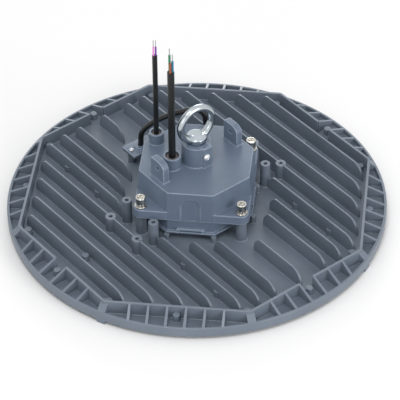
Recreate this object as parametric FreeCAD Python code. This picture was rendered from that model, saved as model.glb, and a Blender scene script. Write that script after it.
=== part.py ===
import FreeCAD, Part
import math
import os

# Round high bay light with a die-cast heat sink, a driver box on top and a hanging eye.
# Millimetres. Z is up along the light's axis and z = 0 is the plane of the four feet under the rim.
# X runs along the cooling fins. The driver box stands at 45 degrees to them.

V = FreeCAD.Vector

# Sizes of the heat sink casting
rim_r = 200.0
rim_width = 2.9
rim_height = 10.9
rim_edge_r = 1.0
foot_height = 4.0
foot_width = 9.3
foot_count = 4
foot_azimuth = 22.5
plate_thickness = 2.5
plate_under_rim = 3.0
rim_above_floor = 5.4
sunk = 0.5
wall_inradius = 177.05
wall_height = 14.5
wall_top = 2.6
wall_corner_r = 3.5
draft = 0.031
notch_count = 4
rib_offsets = (9.5, 28.5, 47.5)
rib_top = 2.3
corner_block = 8.0
sides = 8

# Cooling fins: distance from the axis and length of the clear middle part on each side of X = 0
fin_height = 18.0
fin_top = 1.7
fin_base = 3.6
fin_wall_gap = 6.8
fin_corner_trim = 2.2
nose_minus = 11.5
nose_plus = 15.5
long_fins = (96.4, 117.0, 138.0, 159.0)
short_fins = ((33.0, 70.3, 70.3), (54.0, 55.4, 55.4), (75.0, 28.5, 28.5))
middle_fin = (126.3, 94.7)

# Bosses, posts and pins of the casting
pin_r = 3.7
pin_height = 8.0
pin_hole_roof = 2.0
root_r = 1.0
cover_pin_count = 16
cover_pin_inset = 12.5
board_pin_y = 75.0
inner_pin_x = 73.5
outer_pin_inset = 37.0
end_pin_inset = 17.7
boss_x = 22.5
boss_hole_r = 2.1
boss_hole_depth = 15.0
tall_boss_y = 75.0
tall_boss_r = 5.25
tall_boss_height = 28.6
fin_boss_y = 96.4
fin_boss_r = 5.65
post_r = 5.6
post_span = 73.7
rest_boss_r = 2.75
rest_boss_circle = 66.67
rest_boss_turn = 23.4

# Driver box
tray_underside = 8.0
tray_half = 58.5
tray_wall = 2.5
tray_floor = 2.5
tray_flange_half = 61.5
hood_half = 14.5
hood_height = 4.0
hood_slot_half = 11.5
hood_slot_height = 2.0
seam_height = 25.0
seam_gasket = 1.2
cover_height = 34.0
cover_half_low = 60.6
cover_half_top = 57.6
cover_wall = 4.2
cover_roof = 4.0
cover_edge_r = 1.5
ear_thickness = 9.7
ear_corner_r = 9.0
ear_edge_r = 1.0
ear_hole_r = 3.3
arch_half = 10.2
arch_top = 27.0
arch_depth = 1.0

# Screws of the driver box
m6_r = 3.0
washer_r = 6.5
washer_thickness = 1.8
spring_r = 5.3
spring_thickness = 2.0
spring_slit = 1.0
m6_head_r = 5.0
m6_head_height = 8.5
m6_socket_r = 2.9
m6_socket_depth = 4.0
m6_thread_depth = 14.0

# Hanging eye and its boss
eye_boss_r = 15.4
eye_boss_height = 24.3
pad_face = 16.9
pad_low = -3.8
pad_high = 7.4
eye_thread_r = 5.0
eye_thread_length = 18.0
eye_collar_r = 10.8
eye_collar_top_r = 8.5
eye_collar_side = 4.8
eye_collar_height = 7.3
eye_ring_r = 19.0
eye_wire_r = 4.0
eye_ring_height = 23.0
eye_turn = 86.0
lock_z = 13.0
lock_r = 2.5
lock_head_r = 4.0
lock_head_height = 3.0

# Lugs beside the eye
lug_x = (-11.0, 10.8)
lug_ys = ((-51.7, -44.3), (45.1, 52.5))
lug_height = 23.4
lug_round = 8.5
lug_small_round = 2.5
lug_hole_r = 2.1
lug_hole_z = 14.0

# Cable sockets of the cover and the two cable ends
mains_xy = (-7.6, -26.0)
mains_socket_r = 9.5
mains_socket_height = 14.0
mains_r = 3.75
mains_length = 121.5
dim_xy = (-49.8, -13.9)
dim_socket_r = 7.9
dim_socket_height = 12.6
dim_r = 2.75
dim_length = 112.0
socket_wall = 2.2
seal_recess = 3.0
roof_hole_clear = 0.4
mains_core_r = 1.25
dim_core_r = 0.95
conductor_r = 0.55

# Lead from the driver box to the light engine
gland_x = -97.0
gland_half_x = 10.9
gland_half_y = 16.8
gland_corner_r = 1.5
gland_plate_thickness = 2.5
gland_top = 15.5
gland_gasket = 1.0
gland_boss_r = 9.0
gland_screw_y = 12.2
gland_screw_boss_r = 3.75
gland_collar_r = 7.4
gland_collar_height = 2.0
gland_head_r = 2.5
gland_head_height = 1.8
m3_r = 1.5
lead_r = 3.0
inlet_along = 2.0
inlet_out = 70.0
inlet_r = 6.5
inlet_height = 17.0
inlet_bore_r = 4.6
inlet_seal_depth = 3.5
inlet_seal_recess = 1.0
lead_in_z = 5.5
lead_drop = 4.5
lead_step = 3.5
lead_end = 48.0

# Light engine under the casting
land_inset = 4.5
land_width = 23.0
land_height = 2.3
groove_inset = 3.0
groove_width = 4.5
groove_depth = 1.2
board_gap = 3.0
board_thickness = 1.6
led_size = 3.0
led_height = 0.7
led_rings = ((36.0, 8), (62.0, 14), (90.0, 20), (117.0, 26), (140.0, 32))
wafer_head_r = 3.0
wafer_head_height = 0.9
lens_inset = 5.5
lens_thickness = 1.8
lens_gap = 0.4
lens_screw_head_r = 3.6
lens_screw_head_height = 2.0
lens_recess = 0.9
m4_r = 2.0

# Driver inside the box
standoff_r = 3.5
standoff_height = 6.0
standoff_span = 42.0
circuit_half = 50.0
circuit_thickness = 1.6
board_head_r = 2.75
board_head_height = 1.8
transformer_xy = (22.0, 6.0)
core_width = 30.0
core_depth = 14.0
core_height = 26.0
core_limb = 4.0
capacitor_r = 6.25
capacitor_height = 25.0
capacitor_places = ((-17.0, 12.0), (-2.0, 28.0))
choke_xy = (22.0, -26.0)
choke_r = 9.0
choke_width = 11.0
terminal_pitch = 5.0
terminal_depth = 8.0
terminal_height = 10.0
output_height = 17.5

# Heights and places worked out from the sizes above
inlet_xy = ((inlet_along - inlet_out) / math.sqrt(2), (inlet_along + inlet_out) / math.sqrt(2))
floor_z = foot_height + rim_height - rim_above_floor
rim_top_z = foot_height + rim_height
plate_z = floor_z - plate_thickness
wall_z = floor_z + wall_height
fin_z = floor_z + fin_height
tray_z = floor_z + tray_underside
tray_in_z = tray_z + tray_floor
seam_z = floor_z + seam_height
ear_z = seam_z + ear_thickness
roof_z = seam_z + cover_height
roof_in_z = roof_z - cover_roof
eye_seat_z = roof_z + eye_boss_height
eye_centre_z = eye_seat_z + eye_ring_height
gland_z = floor_z + gland_top
land_z = plate_z - land_height
board_z = plate_z - board_thickness
lens_top_z = land_z - lens_gap
lens_z = land_z - lens_gap - lens_thickness
circuit_z = tray_in_z + standoff_height
parts_z = circuit_z + circuit_thickness

# Radii of the light engine, each from the piece outside it
lens_r = rim_r - lens_inset
land_out = lens_r - land_inset
land_in = land_out - land_width
groove_in = land_in + groove_inset
groove_out = groove_in + groove_width
board_r = land_in - board_gap


def along(radius, azimuth):
    a = math.radians(azimuth)
    return V(radius * math.cos(a), radius * math.sin(a), 0)


def turned(shape, azimuth):
    copy = shape.copy()
    copy.rotate(V(0, 0, 0), V(0, 0, 1), azimuth)
    return copy


def moved(shape, x, y, z=0.0):
    copy = shape.copy()
    copy.translate(V(x, y, z))
    return copy


def face_of(points):
    return Part.Face(Part.makePolygon(list(points) + [points[0]]))


def box(x0, x1, y0, y1, z0, z1):
    return Part.makeBox(x1 - x0, y1 - y0, z1 - z0, V(x0, y0, z0))


def disc(radius, height, x=0.0, y=0.0, z=0.0):
    return Part.makeCylinder(radius, height, V(x, y, z))


def ring(outer, inner, z0, z1, x=0.0, y=0.0):
    return disc(outer, z1 - z0, x, y, z0).cut(disc(inner, z1 - z0, x, y, z0))


def octagon(half, z):
    corner = half / math.cos(math.pi / sides)
    points = [along(corner, (i + 0.5) * 360.0 / sides) + V(0, 0, z) for i in range(sides)]
    return Part.makePolygon(points + [points[0]])


def octagon_solid(half_low, z_low, half_high, z_high):
    return Part.makeLoft([octagon(half_low, z_low), octagon(half_high, z_high)], True, True)


def round_vertical_edges(shape, radius):
    def upright(edge):
        a, b = edge.Vertexes[0].Point, edge.Vertexes[1].Point
        return abs(b.z - a.z) > 0.9 * a.distanceToPoint(b)

    edges = [e for e in shape.Edges if len(e.Vertexes) == 2 and upright(e)]
    return shape.makeFillet(radius, edges)


def edges_at(shape, z, within=0.01):
    return [e for e in shape.Edges if all(abs(v.Point.z - z) < within for v in e.Vertexes)]


def rounded_box(half_x, half_y, radius, z0, z1):
    return round_vertical_edges(box(-half_x, half_x, -half_y, half_y, z0, z1), radius)


def turned_profile(points, x=0.0, y=0.0):
    # Points are (radius, height), starting and ending on the axis.
    face = face_of([V(r, 0, z) for r, z in points])
    return moved(face.revolve(V(0, 0, 0), V(0, 0, 1), 360), x, y)


def boss(x, y, z0, radius, height, root=root_r):
    # A round boss that stands on a face with a small sloped root.
    return turned_profile(((0, z0 - sunk), (radius + root, z0 - sunk), (radius + root, z0),
                           (radius, z0 + root), (radius, z0 + height), (0, z0 + height)), x, y)


def joined(first, others):
    return first.multiFuse(others).removeSplitter()


# Places that more than one piece uses
def cover_pin_places():
    # The pins take the lens screws, so they follow the edge of the lens plate.
    step = 360.0 / cover_pin_count
    return [along(lens_r - cover_pin_inset, i * step) for i in range(cover_pin_count)]


def board_pin_places():
    # The outer pins and the two end pins follow the edge of the round board.
    end = board_r - end_pin_inset
    columns = (inner_pin_x, board_r - outer_pin_inset)
    corners = [V(sx * x, sy * board_pin_y, 0) for x in columns for sx in (-1, 1) for sy in (-1, 1)]
    return corners + [V(0, -end, 0), V(0, end, 0)]


def post_places():
    return [along(post_span, 90.0 * i) for i in range(4)]


def standoff_places():
    return [along(standoff_span, 90.0 * i) for i in range(4)]


def gland_screw_places():
    return [V(gland_x, -gland_screw_y, 0), V(gland_x, gland_screw_y, 0)]


def led_places():
    places = []
    for radius, count in led_rings:
        for i in range(count):
            places.append((along(radius, (i + 0.5) * 360.0 / count), (i + 0.5) * 360.0 / count))
    return places


# Heat sink casting
def fin(x0, x1, y):
    # The side view of a fin has quarter ellipses as its noses, and its section tapers to the top.
    top = Part.LineSegment(V(x0 + nose_minus, 0, fin_z), V(x1 - nose_plus, 0, fin_z))
    foot = floor_z - sunk
    left = nose(x0 + nose_minus, nose_minus, -1)
    right = nose(x1 - nose_plus, nose_plus, 1)
    outline = [left, top.toShape(), right,
               Part.makeLine(V(x1, 0, floor_z), V(x1, 0, foot)),
               Part.makeLine(V(x1, 0, foot), V(x0, 0, foot)),
               Part.makeLine(V(x0, 0, foot), V(x0, 0, floor_z))]
    wire = Part.Wire(Part.__sortEdges__(outline))
    side = moved(Part.Face(wire).extrude(V(0, 2 * fin_base, 0)), 0, -fin_base)
    section = face_of([V(x0, -fin_base / 2, foot), V(x0, fin_base / 2, foot),
                       V(x0, fin_top / 2, fin_z), V(x0, -fin_top / 2, fin_z)])
    return moved(side.common(section.extrude(V(x1 - x0, 0, 0))), 0, y)


def nose(centre_x, length, direction):
    # A quarter ellipse from the floor up to the fin's top edge
    long_first = fin_height > length
    major = max(fin_height, length)
    minor = min(fin_height, length)
    ellipse = Part.Ellipse(V(centre_x, 0, floor_z), major, minor)
    axis_x = V(0, 0, 1) if long_first else V(direction, 0, 0)
    ellipse.Axis = V(0, 1, 0)
    ellipse.AngleXU = 0
    ellipse.XAxis = axis_x
    tip = V(centre_x + direction * length, 0, floor_z)
    crown = V(centre_x, 0, fin_z)
    a, b = ellipse.parameter(tip), ellipse.parameter(crown)
    if (b - a) % (2 * math.pi) < math.pi:
        return ellipse.toShape(a, a + (b - a) % (2 * math.pi))
    return ellipse.toShape(b, b + (a - b) % (2 * math.pi))


def fin_end(y):
    # Fins stop short of the octagonal wall, and a little more where they meet one of its corners.
    flat = wall_inradius
    slanted = wall_inradius * math.sqrt(2) - abs(y)
    corner_y = wall_inradius * math.tan(math.pi / sides)
    trim = fin_corner_trim if abs(abs(y) - corner_y) < fin_base else 0.0
    return min(flat, slanted) - fin_wall_gap - trim


def fins():
    made = [fin(-fin_end(0), -middle_fin[0], 0), fin(middle_fin[1], fin_end(0), 0)]
    for side in (-1, 1):
        for y, left, right in short_fins:
            made.append(fin(-fin_end(y), -left, side * y))
            made.append(fin(right, fin_end(y), side * y))
        for y in long_fins:
            made.append(fin(-fin_end(y), fin_end(y), side * y))
    return made


def rib(width_top, offset, x_in, x_out):
    # A drafted rib along X whose top slopes from the wall's top to the rim's top
    foot = floor_z - sunk
    half_top = width_top / 2
    half_foot = half_top + draft * (wall_z - foot)
    side = face_of([V(x_in, -10, foot), V(x_in, -10, wall_z), V(x_out, -10, rim_top_z),
                    V(x_out, -10, foot)]).extrude(V(0, 20, 0))
    section = face_of([V(x_in, -half_foot, foot), V(x_in, half_foot, foot),
                       V(x_in, half_top, wall_z), V(x_in, -half_top, wall_z)])
    return moved(side.common(section.extrude(V(x_out - x_in, 0, 0))), 0, offset)


def ribs():
    inside_rim = rim_r - rim_width / 2
    made = []
    for i in range(sides):
        azimuth = i * 360.0 / sides
        for offset in rib_offsets:
            x_out = math.sqrt(inside_rim ** 2 - offset ** 2)
            for side in (-1, 1):
                made.append(turned(rib(rib_top, side * offset, wall_inradius, x_out), azimuth))
        corner = wall_inradius / math.cos(math.pi / sides)
        block = rib(corner_block, 0, corner - wall_top, inside_rim)
        made.append(turned(block, azimuth + 180.0 / sides))
    return made


def octagon_wall():
    half_out_top = wall_inradius + wall_top / 2
    half_in_top = wall_inradius - wall_top / 2
    foot = floor_z - sunk
    spread = draft * (wall_z - foot)
    outer = octagon_solid(half_out_top + spread, foot, half_out_top, wall_z)
    inner = octagon_solid(half_in_top - spread, foot, half_in_top, wall_z)
    wall = outer.cut(round_vertical_edges(inner, wall_corner_r))
    notch_half = rib_offsets[0]
    for i in range(notch_count):
        gap = box(wall_inradius - 10, wall_inradius + 10, -notch_half, notch_half, floor_z, wall_z + 1)
        wall = wall.cut(turned(gap, i * 360.0 / notch_count))
    return wall


def rim_and_plate():
    r = rim_r
    e = rim_edge_r
    k = e * (1 - math.sqrt(0.5))
    profile = [Part.makeLine(V(0, 0, plate_z), V(r - plate_under_rim, 0, plate_z)),
               Part.makeLine(V(r - plate_under_rim, 0, plate_z), V(r - plate_under_rim, 0, foot_height)),
               Part.makeLine(V(r - plate_under_rim, 0, foot_height), V(r - e, 0, foot_height)),
               Part.Arc(V(r - e, 0, foot_height), V(r - k, 0, foot_height + k), V(r, 0, foot_height + e)).toShape(),
               Part.makeLine(V(r, 0, foot_height + e), V(r, 0, rim_top_z - e)),
               Part.Arc(V(r, 0, rim_top_z - e), V(r - k, 0, rim_top_z - k), V(r - e, 0, rim_top_z)).toShape(),
               Part.makeLine(V(r - e, 0, rim_top_z), V(r - rim_width, 0, rim_top_z)),
               Part.makeLine(V(r - rim_width, 0, rim_top_z), V(r - rim_width - 0.2, 0, floor_z)),
               Part.makeLine(V(r - rim_width - 0.2, 0, floor_z), V(0, 0, floor_z)),
               Part.makeLine(V(0, 0, floor_z), V(0, 0, plate_z))]
    return Part.Face(Part.Wire(profile)).revolve(V(0, 0, 0), V(0, 0, 1), 360)


def feet():
    made = []
    for i in range(foot_count):
        block = box(rim_r - plate_under_rim - 1, rim_r + 1, -foot_width / 2, foot_width / 2, 0, foot_height + 1)
        tab = block.common(ring(rim_r, rim_r - plate_under_rim, 0, foot_height + rim_edge_r))
        made.append(turned(tab, foot_azimuth + i * 360.0 / foot_count))
    return made


def heat_sink():
    parts = [octagon_wall()] + fins() + ribs() + feet()
    for p in cover_pin_places() + board_pin_places():
        parts.append(boss(p.x, p.y, floor_z, pin_r, pin_height, 0.6))
    for sx in (-1, 1):
        for sy in (-1, 1):
            parts.append(boss(sx * boss_x, sy * tall_boss_y, floor_z, tall_boss_r, tall_boss_height))
            parts.append(boss(sx * boss_x, sy * fin_boss_y, floor_z, fin_boss_r, fin_height))
    for p in post_places():
        parts.append(boss(p.x, p.y, floor_z, post_r, seam_height))
    for i in range(4):
        for turn in (-rest_boss_turn, rest_boss_turn):
            p = along(rest_boss_circle, 90.0 * i + turn)
            parts.append(boss(p.x, p.y, floor_z, rest_boss_r, tray_underside, 0.8))
    gland_foot = gland_top - gland_plate_thickness - gland_gasket
    parts.append(boss(gland_x, 0, floor_z, gland_boss_r, gland_foot))
    for p in gland_screw_places():
        parts.append(boss(p.x, p.y, floor_z, gland_screw_boss_r, gland_foot))
    parts.append(ring(land_out, land_in, land_z, plate_z + sunk))
    body = rim_and_plate().multiFuse(parts)

    holes = [ring(groove_out, groove_in, land_z, land_z + groove_depth)]
    pin_top = floor_z + pin_height - pin_hole_roof
    for p in cover_pin_places():
        holes.append(disc(m4_r, pin_top - land_z, p.x, p.y, land_z))
    for p in board_pin_places():
        holes.append(disc(m3_r, pin_top - plate_z, p.x, p.y, plate_z))
    for sx in (-1, 1):
        for sy in (-1, 1):
            for y, height in ((tall_boss_y, tall_boss_height), (fin_boss_y, fin_height)):
                top = floor_z + height
                holes.append(disc(boss_hole_r, boss_hole_depth, sx * boss_x, sy * y, top - boss_hole_depth))
    for p in post_places():
        holes.append(disc(m6_r, m6_thread_depth, p.x, p.y, seam_z - m6_thread_depth))
    holes.append(disc(lead_r, 40, gland_x, 0, plate_z - 1))
    for p in gland_screw_places():
        holes.append(disc(m3_r, gland_foot - 2, p.x, p.y, floor_z + 2))
    return body.cut(Part.makeCompound(holes))


# Driver box
def tray():
    body = octagon_solid(tray_half, tray_z, tray_half, seam_z - seam_gasket)
    flange = octagon_solid(tray_flange_half, tray_z, tray_flange_half, tray_in_z)
    hoods = []
    slots = []
    for i in range(4):
        azimuth = 45 + 90 * i
        hood = box(0, tray_flange_half, -hood_half, hood_half, tray_in_z - 1, tray_in_z + hood_height)
        slot = box(tray_half, tray_flange_half + 1, -hood_slot_half, hood_slot_half,
                   tray_in_z, tray_in_z + hood_slot_height)
        hoods.append(turned(hood, azimuth))
        slots.append(turned(slot, azimuth))
    body = joined(body, [flange] + hoods)
    inner = tray_half - tray_wall
    body = body.cut(octagon_solid(inner, tray_in_z, inner, seam_z + 1))
    posts = [disc(standoff_r, standoff_height + sunk, p.x, p.y, tray_in_z - sunk) for p in standoff_places()]
    body = joined(body, posts)
    for p in standoff_places():
        slots.append(disc(m3_r, standoff_height, p.x, p.y, tray_in_z))
    return body.cut(Part.makeCompound(slots))


def seam_gasket_ring():
    half_in = cover_half_low - cover_wall
    return octagon_solid(tray_half, seam_z - seam_gasket, tray_half, seam_z).cut(
        octagon_solid(half_in, seam_z - seam_gasket, half_in, seam_z))


def cover_outer(inset=0.0):
    return octagon_solid(cover_half_low - inset, seam_z, cover_half_top - inset, roof_z)


def ear_flange():
    # A square whose sides lean in with the cover's own, so that only its four corners stand out as ears
    ear_half = cover_half_low - (cover_half_low - cover_half_top) * ear_thickness / cover_height
    low, high = square(cover_half_low, seam_z), square(ear_half, ear_z)
    flange = round_vertical_edges(Part.makeLoft([low, high], True, True), ear_corner_r)
    return flange.makeFillet(ear_edge_r, edges_at(flange, ear_z))


def square(half, z):
    corner = half * math.sqrt(2)
    points = [along(corner, 90.0 * i) + V(0, 0, z) for i in range(4)]
    return Part.makePolygon(points + [points[0]])


def lug(y0, y1):
    x0, x1 = lug_x
    top = roof_z + lug_height
    plate = box(x0, x1, y0, y1, roof_z - sunk, top)
    across = [e for e in edges_at(plate, top) if abs(e.Vertexes[0].Point.y - e.Vertexes[1].Point.y) > 1]
    plate = plate.makeFillet(lug_round, [e for e in across if e.Vertexes[0].Point.x > 0])
    across = [e for e in edges_at(plate, top) if abs(e.Vertexes[0].Point.y - e.Vertexes[1].Point.y) > 1]
    return plate.makeFillet(lug_small_round, [e for e in across if e.Vertexes[0].Point.x < x0 + 0.1])


def driver_cover():
    shell = cover_outer()
    shell = shell.makeFillet(cover_edge_r, edges_at(shell, roof_z))
    flange = ear_flange()
    mains_boss = boss(mains_xy[0], mains_xy[1], roof_z, mains_socket_r, mains_socket_height)
    dim_boss = boss(dim_xy[0], dim_xy[1], roof_z, dim_socket_r, dim_socket_height)
    eye_boss = boss(0, 0, roof_z, eye_boss_r, eye_boss_height)
    pad = box(0, pad_face, pad_low, pad_high, roof_z - sunk, eye_seat_z)
    inlet = disc(inlet_r, inlet_height, inlet_xy[0], inlet_xy[1], seam_z)
    reach = math.hypot(*inlet_xy)
    web = turned(box(cover_half_top - 2, reach, -inlet_r, inlet_r, seam_z, seam_z + inlet_height), 135)
    lugs = [lug(y0, y1) for y0, y1 in lug_ys]
    body = joined(shell, [flange, mains_boss, dim_boss, eye_boss, pad, inlet, web] + lugs)

    low = cover_half_low - cover_wall
    high = cover_half_top - cover_wall
    inner = octagon_solid(low, seam_z - 0.01, high, roof_in_z)
    cuts = [inner]
    for p in post_places():
        cuts.append(disc(ear_hole_r, ear_thickness + 2, p.x, p.y, seam_z - 1))
    for xy, socket_r, height, cable_r in ((mains_xy, mains_socket_r, mains_socket_height, mains_r),
                                          (dim_xy, dim_socket_r, dim_socket_height, dim_r)):
        cuts.append(disc(socket_r - socket_wall, height + 2, xy[0], xy[1], roof_z - 2))
        cuts.append(disc(cable_r + roof_hole_clear, cover_roof, xy[0], xy[1], roof_in_z - 1))
    cuts.append(disc(eye_thread_r, eye_thread_length, 0, 0, eye_seat_z - eye_thread_length))
    lock_hole = Part.makeCylinder(lock_r, pad_face, V(0, 0, roof_z + lock_z), V(1, 0, 0))
    cuts.append(lock_hole)
    for y0, y1 in lug_ys:
        cuts.append(Part.makeCylinder(lug_hole_r, y1 - y0 + 2, V(0, y0 - 1, roof_z + lug_hole_z), V(0, 1, 0)))
    seal_z = seam_z + inlet_height - inlet_seal_depth
    cuts.append(disc(inlet_bore_r, inlet_height, inlet_xy[0], inlet_xy[1], seal_z))
    cuts.append(tube(lead_route()[-4:], lead_r))
    arch = arch_recess()
    return body.cut(Part.makeCompound(cuts)).cut(arch)


def arch_recess():
    # A shallow arched panel on the side below the eye's locking screw, parallel to the sloping wall
    centre_z = seam_z + arch_top - arch_half
    prism = box(0, cover_half_low + 5, -arch_half, arch_half, seam_z - 1, centre_z)
    prism = prism.fuse(Part.makeCylinder(arch_half, cover_half_low + 5, V(0, 0, centre_z), V(1, 0, 0)))
    skin = cover_outer(-0.5).cut(cover_outer(arch_depth))
    return turned(prism, -45).common(skin)


def cover_screw(p):
    shank_low = seam_z - m6_thread_depth + 1
    seat = ear_z + washer_thickness + spring_thickness
    head = disc(m6_head_r, m6_head_height, p.x, p.y, seat)
    head = head.makeChamfer(0.6, edges_at(head, seat + m6_head_height))
    socket = hexagon(m6_socket_r, seat + m6_head_height - m6_socket_depth, m6_socket_depth)
    shank = disc(m6_r, seat - shank_low + 0.5, p.x, p.y, shank_low)
    return head.fuse(shank).cut(moved(socket, p.x, p.y))


def hexagon(corner, z, height):
    points = [along(corner, 60.0 * i) + V(0, 0, z) for i in range(6)]
    return face_of(points).extrude(V(0, 0, height))


def spring_washer(p):
    z = ear_z + washer_thickness
    whole = ring(spring_r, m6_r, z, z + spring_thickness, p.x, p.y)
    slit = box(0, spring_r + 1, -spring_slit / 2, spring_slit / 2, z, z + spring_thickness)
    return whole.cut(moved(turned(slit, 200), p.x, p.y))


def flat_washer(p):
    return ring(washer_r, m6_r, ear_z, ear_z + washer_thickness, p.x, p.y)


def group(maker, places):
    return Part.makeCompound([maker(p) for p in places])


# Hanging eye
def eye_bolt():
    seat = eye_seat_z
    r = eye_collar_r
    top = seat + eye_collar_height
    side_z = seat + eye_collar_side
    bulge_r = eye_collar_top_r + (r - eye_collar_top_r) * math.sqrt(0.5)
    bulge_z = side_z + (top - side_z) * math.sqrt(0.5)
    profile = [Part.makeLine(V(0, 0, seat - eye_thread_length + 1), V(eye_thread_r, 0, seat - eye_thread_length + 1)),
               Part.makeLine(V(eye_thread_r, 0, seat - eye_thread_length + 1), V(eye_thread_r, 0, seat)),
               Part.makeLine(V(eye_thread_r, 0, seat), V(r, 0, seat)),
               Part.makeLine(V(r, 0, seat), V(r, 0, side_z)),
               Part.Arc(V(r, 0, side_z), V(bulge_r, 0, bulge_z), V(eye_collar_top_r, 0, top)).toShape(),
               Part.makeLine(V(eye_collar_top_r, 0, top), V(0, 0, top)),
               Part.makeLine(V(0, 0, top), V(0, 0, seat - eye_thread_length + 1))]
    stem = Part.Face(Part.Wire(profile)).revolve(V(0, 0, 0), V(0, 0, 1), 360)
    loop = Part.makeTorus(eye_ring_r, eye_wire_r, V(0, 0, eye_centre_z), along(1, eye_turn - 90))
    return stem.fuse(loop)


def eye_lock_screw():
    z = roof_z + lock_z
    shank = Part.makeCylinder(lock_r, pad_face - eye_thread_r, V(eye_thread_r, 0, z), V(1, 0, 0))
    dome_r = (lock_head_r ** 2 + lock_head_height ** 2) / (2 * lock_head_height)
    ball = Part.makeSphere(dome_r, V(pad_face + lock_head_height - dome_r, 0, z))
    head = ball.common(Part.makeCylinder(lock_head_r, lock_head_height, V(pad_face, 0, z), V(1, 0, 0)))
    return shank.fuse(head)


# Cables
def socket_seal(xy, socket_r, socket_height, cable_r):
    top = roof_z + socket_height - seal_recess
    return ring(socket_r - socket_wall, cable_r, roof_z - 2, top, xy[0], xy[1])


def cable(xy, radius, length):
    # The jacket runs from its terminal block up through the cover to where it is stripped.
    low = parts_z + terminal_height
    return disc(radius, roof_z + length - low, xy[0], xy[1], low)


def core_places(xy, spread, azimuths):
    return [V(xy[0], xy[1], 0) + along(spread, a) for a in azimuths]


def core(p, radius, low, length):
    return disc(radius, length, p.x, p.y, low)


def lead_route():
    # Points in the driver box's own axes, from the light engine up, over behind the box and into it
    gland = abs(gland_x) / math.sqrt(2)
    x, y = inlet_along, inlet_out
    low = seam_z + lead_in_z
    points = [(-gland, gland, plate_z), (-gland, gland, 37.5), (-65.6, 69.0, 46.5), (-58.0, 69.0, 55.5),
              (-47.0, 69.4, 63.5), (-36.6, 69.7, 69.0), (-25.5, 69.9, 73.8), (-15.0, 70.0, 77.6),
              (-8.5, 70.0, 79.2), (-2.5, 70.0, 77.5), (1.2, 70.0, 71.5), (x, y, 64.0),
              (x, y, low + lead_drop), (x, y - lead_step, low), (x, lead_end, low)]
    return [turned_point(V(*p), 45.0) for p in points]


def turned_point(point, azimuth):
    a = math.radians(azimuth)
    return V(point.x * math.cos(a) - point.y * math.sin(a), point.x * math.sin(a) + point.y * math.cos(a), point.z)


def tube(points, radius):
    edges = []
    radii = []
    last = points[0]
    for before, corner, after in zip(points, points[1:], points[2:]):
        a = (before - corner)
        b = (after - corner)
        turn = math.pi - a.getAngle(b)
        short = min(a.Length, b.Length)
        cut = 0.45 * short
        radii.append(cut / math.tan(turn / 2))
        a.normalize()
        b.normalize()
        start = corner + a * cut
        end = corner + b * cut
        bisector = (a + b).normalize()
        centre = corner + bisector * (radii[-1] / math.cos(turn / 2))
        middle = centre - bisector * radii[-1]
        edges.append(Part.LineSegment(last, start).toShape())
        edges.append(Part.Arc(start, middle, end).toShape())
        last = end
    edges.append(Part.LineSegment(last, points[-1]).toShape())
    wire = Part.Wire(edges)
    section = Part.Wire(Part.makeCircle(radius, points[0], points[1] - points[0]))
    solid = wire.makePipeShell([section], True, True, 1)
    expected = math.pi * radius ** 2 * wire.Length
    print("tube radii", [round(r, 1) for r in radii], "length", round(wire.Length, 1),
          "volume ratio", round(solid.Volume / expected, 4))
    return solid


def gland_plate():
    low = gland_z - gland_plate_thickness
    plate = rounded_box(gland_half_x, gland_half_y, gland_corner_r, low, gland_z)
    plate = moved(plate, gland_x, 0)
    collar = boss(gland_x, 0, gland_z, gland_collar_r, gland_collar_height, 0.8)
    body = joined(plate, [collar])
    holes = [disc(lead_r, 30, gland_x, 0, low - 1)]
    holes.append(disc(lead_r + 2.0, gland_plate_thickness + 0.5, gland_x, 0, low - 0.01))
    for p in gland_screw_places():
        holes.append(disc(m3_r, 10, p.x, p.y, low - 1))
    return body.cut(Part.makeCompound(holes))


def gland_sheet():
    low = gland_z - gland_plate_thickness - gland_gasket
    sheet = moved(rounded_box(gland_half_x, gland_half_y, gland_corner_r, low, low + gland_gasket), gland_x, 0)
    holes = [disc(lead_r, 5, gland_x, 0, low - 1)]
    for p in gland_screw_places():
        holes.append(disc(m3_r, 5, p.x, p.y, low - 1))
    return sheet.cut(Part.makeCompound(holes))


def gland_seal():
    low = gland_z - gland_plate_thickness
    return ring(lead_r + 2.0, lead_r, low, gland_z, gland_x, 0)


def gland_screw(p):
    head = disc(gland_head_r, gland_head_height, p.x, p.y, gland_z)
    head = head.makeFillet(0.8, edges_at(head, gland_z + gland_head_height))
    reach = gland_top - 3
    return head.fuse(disc(m3_r, reach, p.x, p.y, gland_z - reach))


def inlet_seal():
    top = seam_z + inlet_height
    return ring(inlet_bore_r, lead_r, top - inlet_seal_depth, top - inlet_seal_recess, inlet_xy[0], inlet_xy[1])


# Light engine
def led_board():
    board = disc(board_r, board_thickness, 0, 0, board_z)
    holes = [disc(m3_r, 5, p.x, p.y, board_z - 1) for p in board_pin_places()]
    return board.cut(Part.makeCompound(holes))


def led_packages():
    half = led_size / 2
    made = []
    for p, azimuth in led_places():
        package = box(-half, half, -half, half, board_z - led_height, board_z)
        made.append(moved(turned(package, azimuth), p.x, p.y))
    return Part.makeCompound(made)


def board_screw(p):
    head = disc(wafer_head_r, wafer_head_height, p.x, p.y, board_z - wafer_head_height)
    shank_top = floor_z + pin_height - pin_hole_roof - 0.5
    return head.fuse(disc(m3_r, shank_top - board_z, p.x, p.y, board_z))


def lens_plate():
    sheet = disc(lens_r, lens_thickness + lens_gap, 0, 0, lens_z)
    sheet = sheet.cut(disc(land_in - 1, lens_gap, 0, 0, lens_top_z))
    holes = []
    for p in cover_pin_places():
        holes.append(disc(m4_r, 5, p.x, p.y, lens_z - 1))
        holes.append(disc(lens_screw_head_r + 0.4, lens_recess, p.x, p.y, lens_z))
    return sheet.cut(Part.makeCompound(holes))


def lens_gasket():
    return ring(groove_out, groove_in, land_z, land_z + groove_depth)


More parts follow.
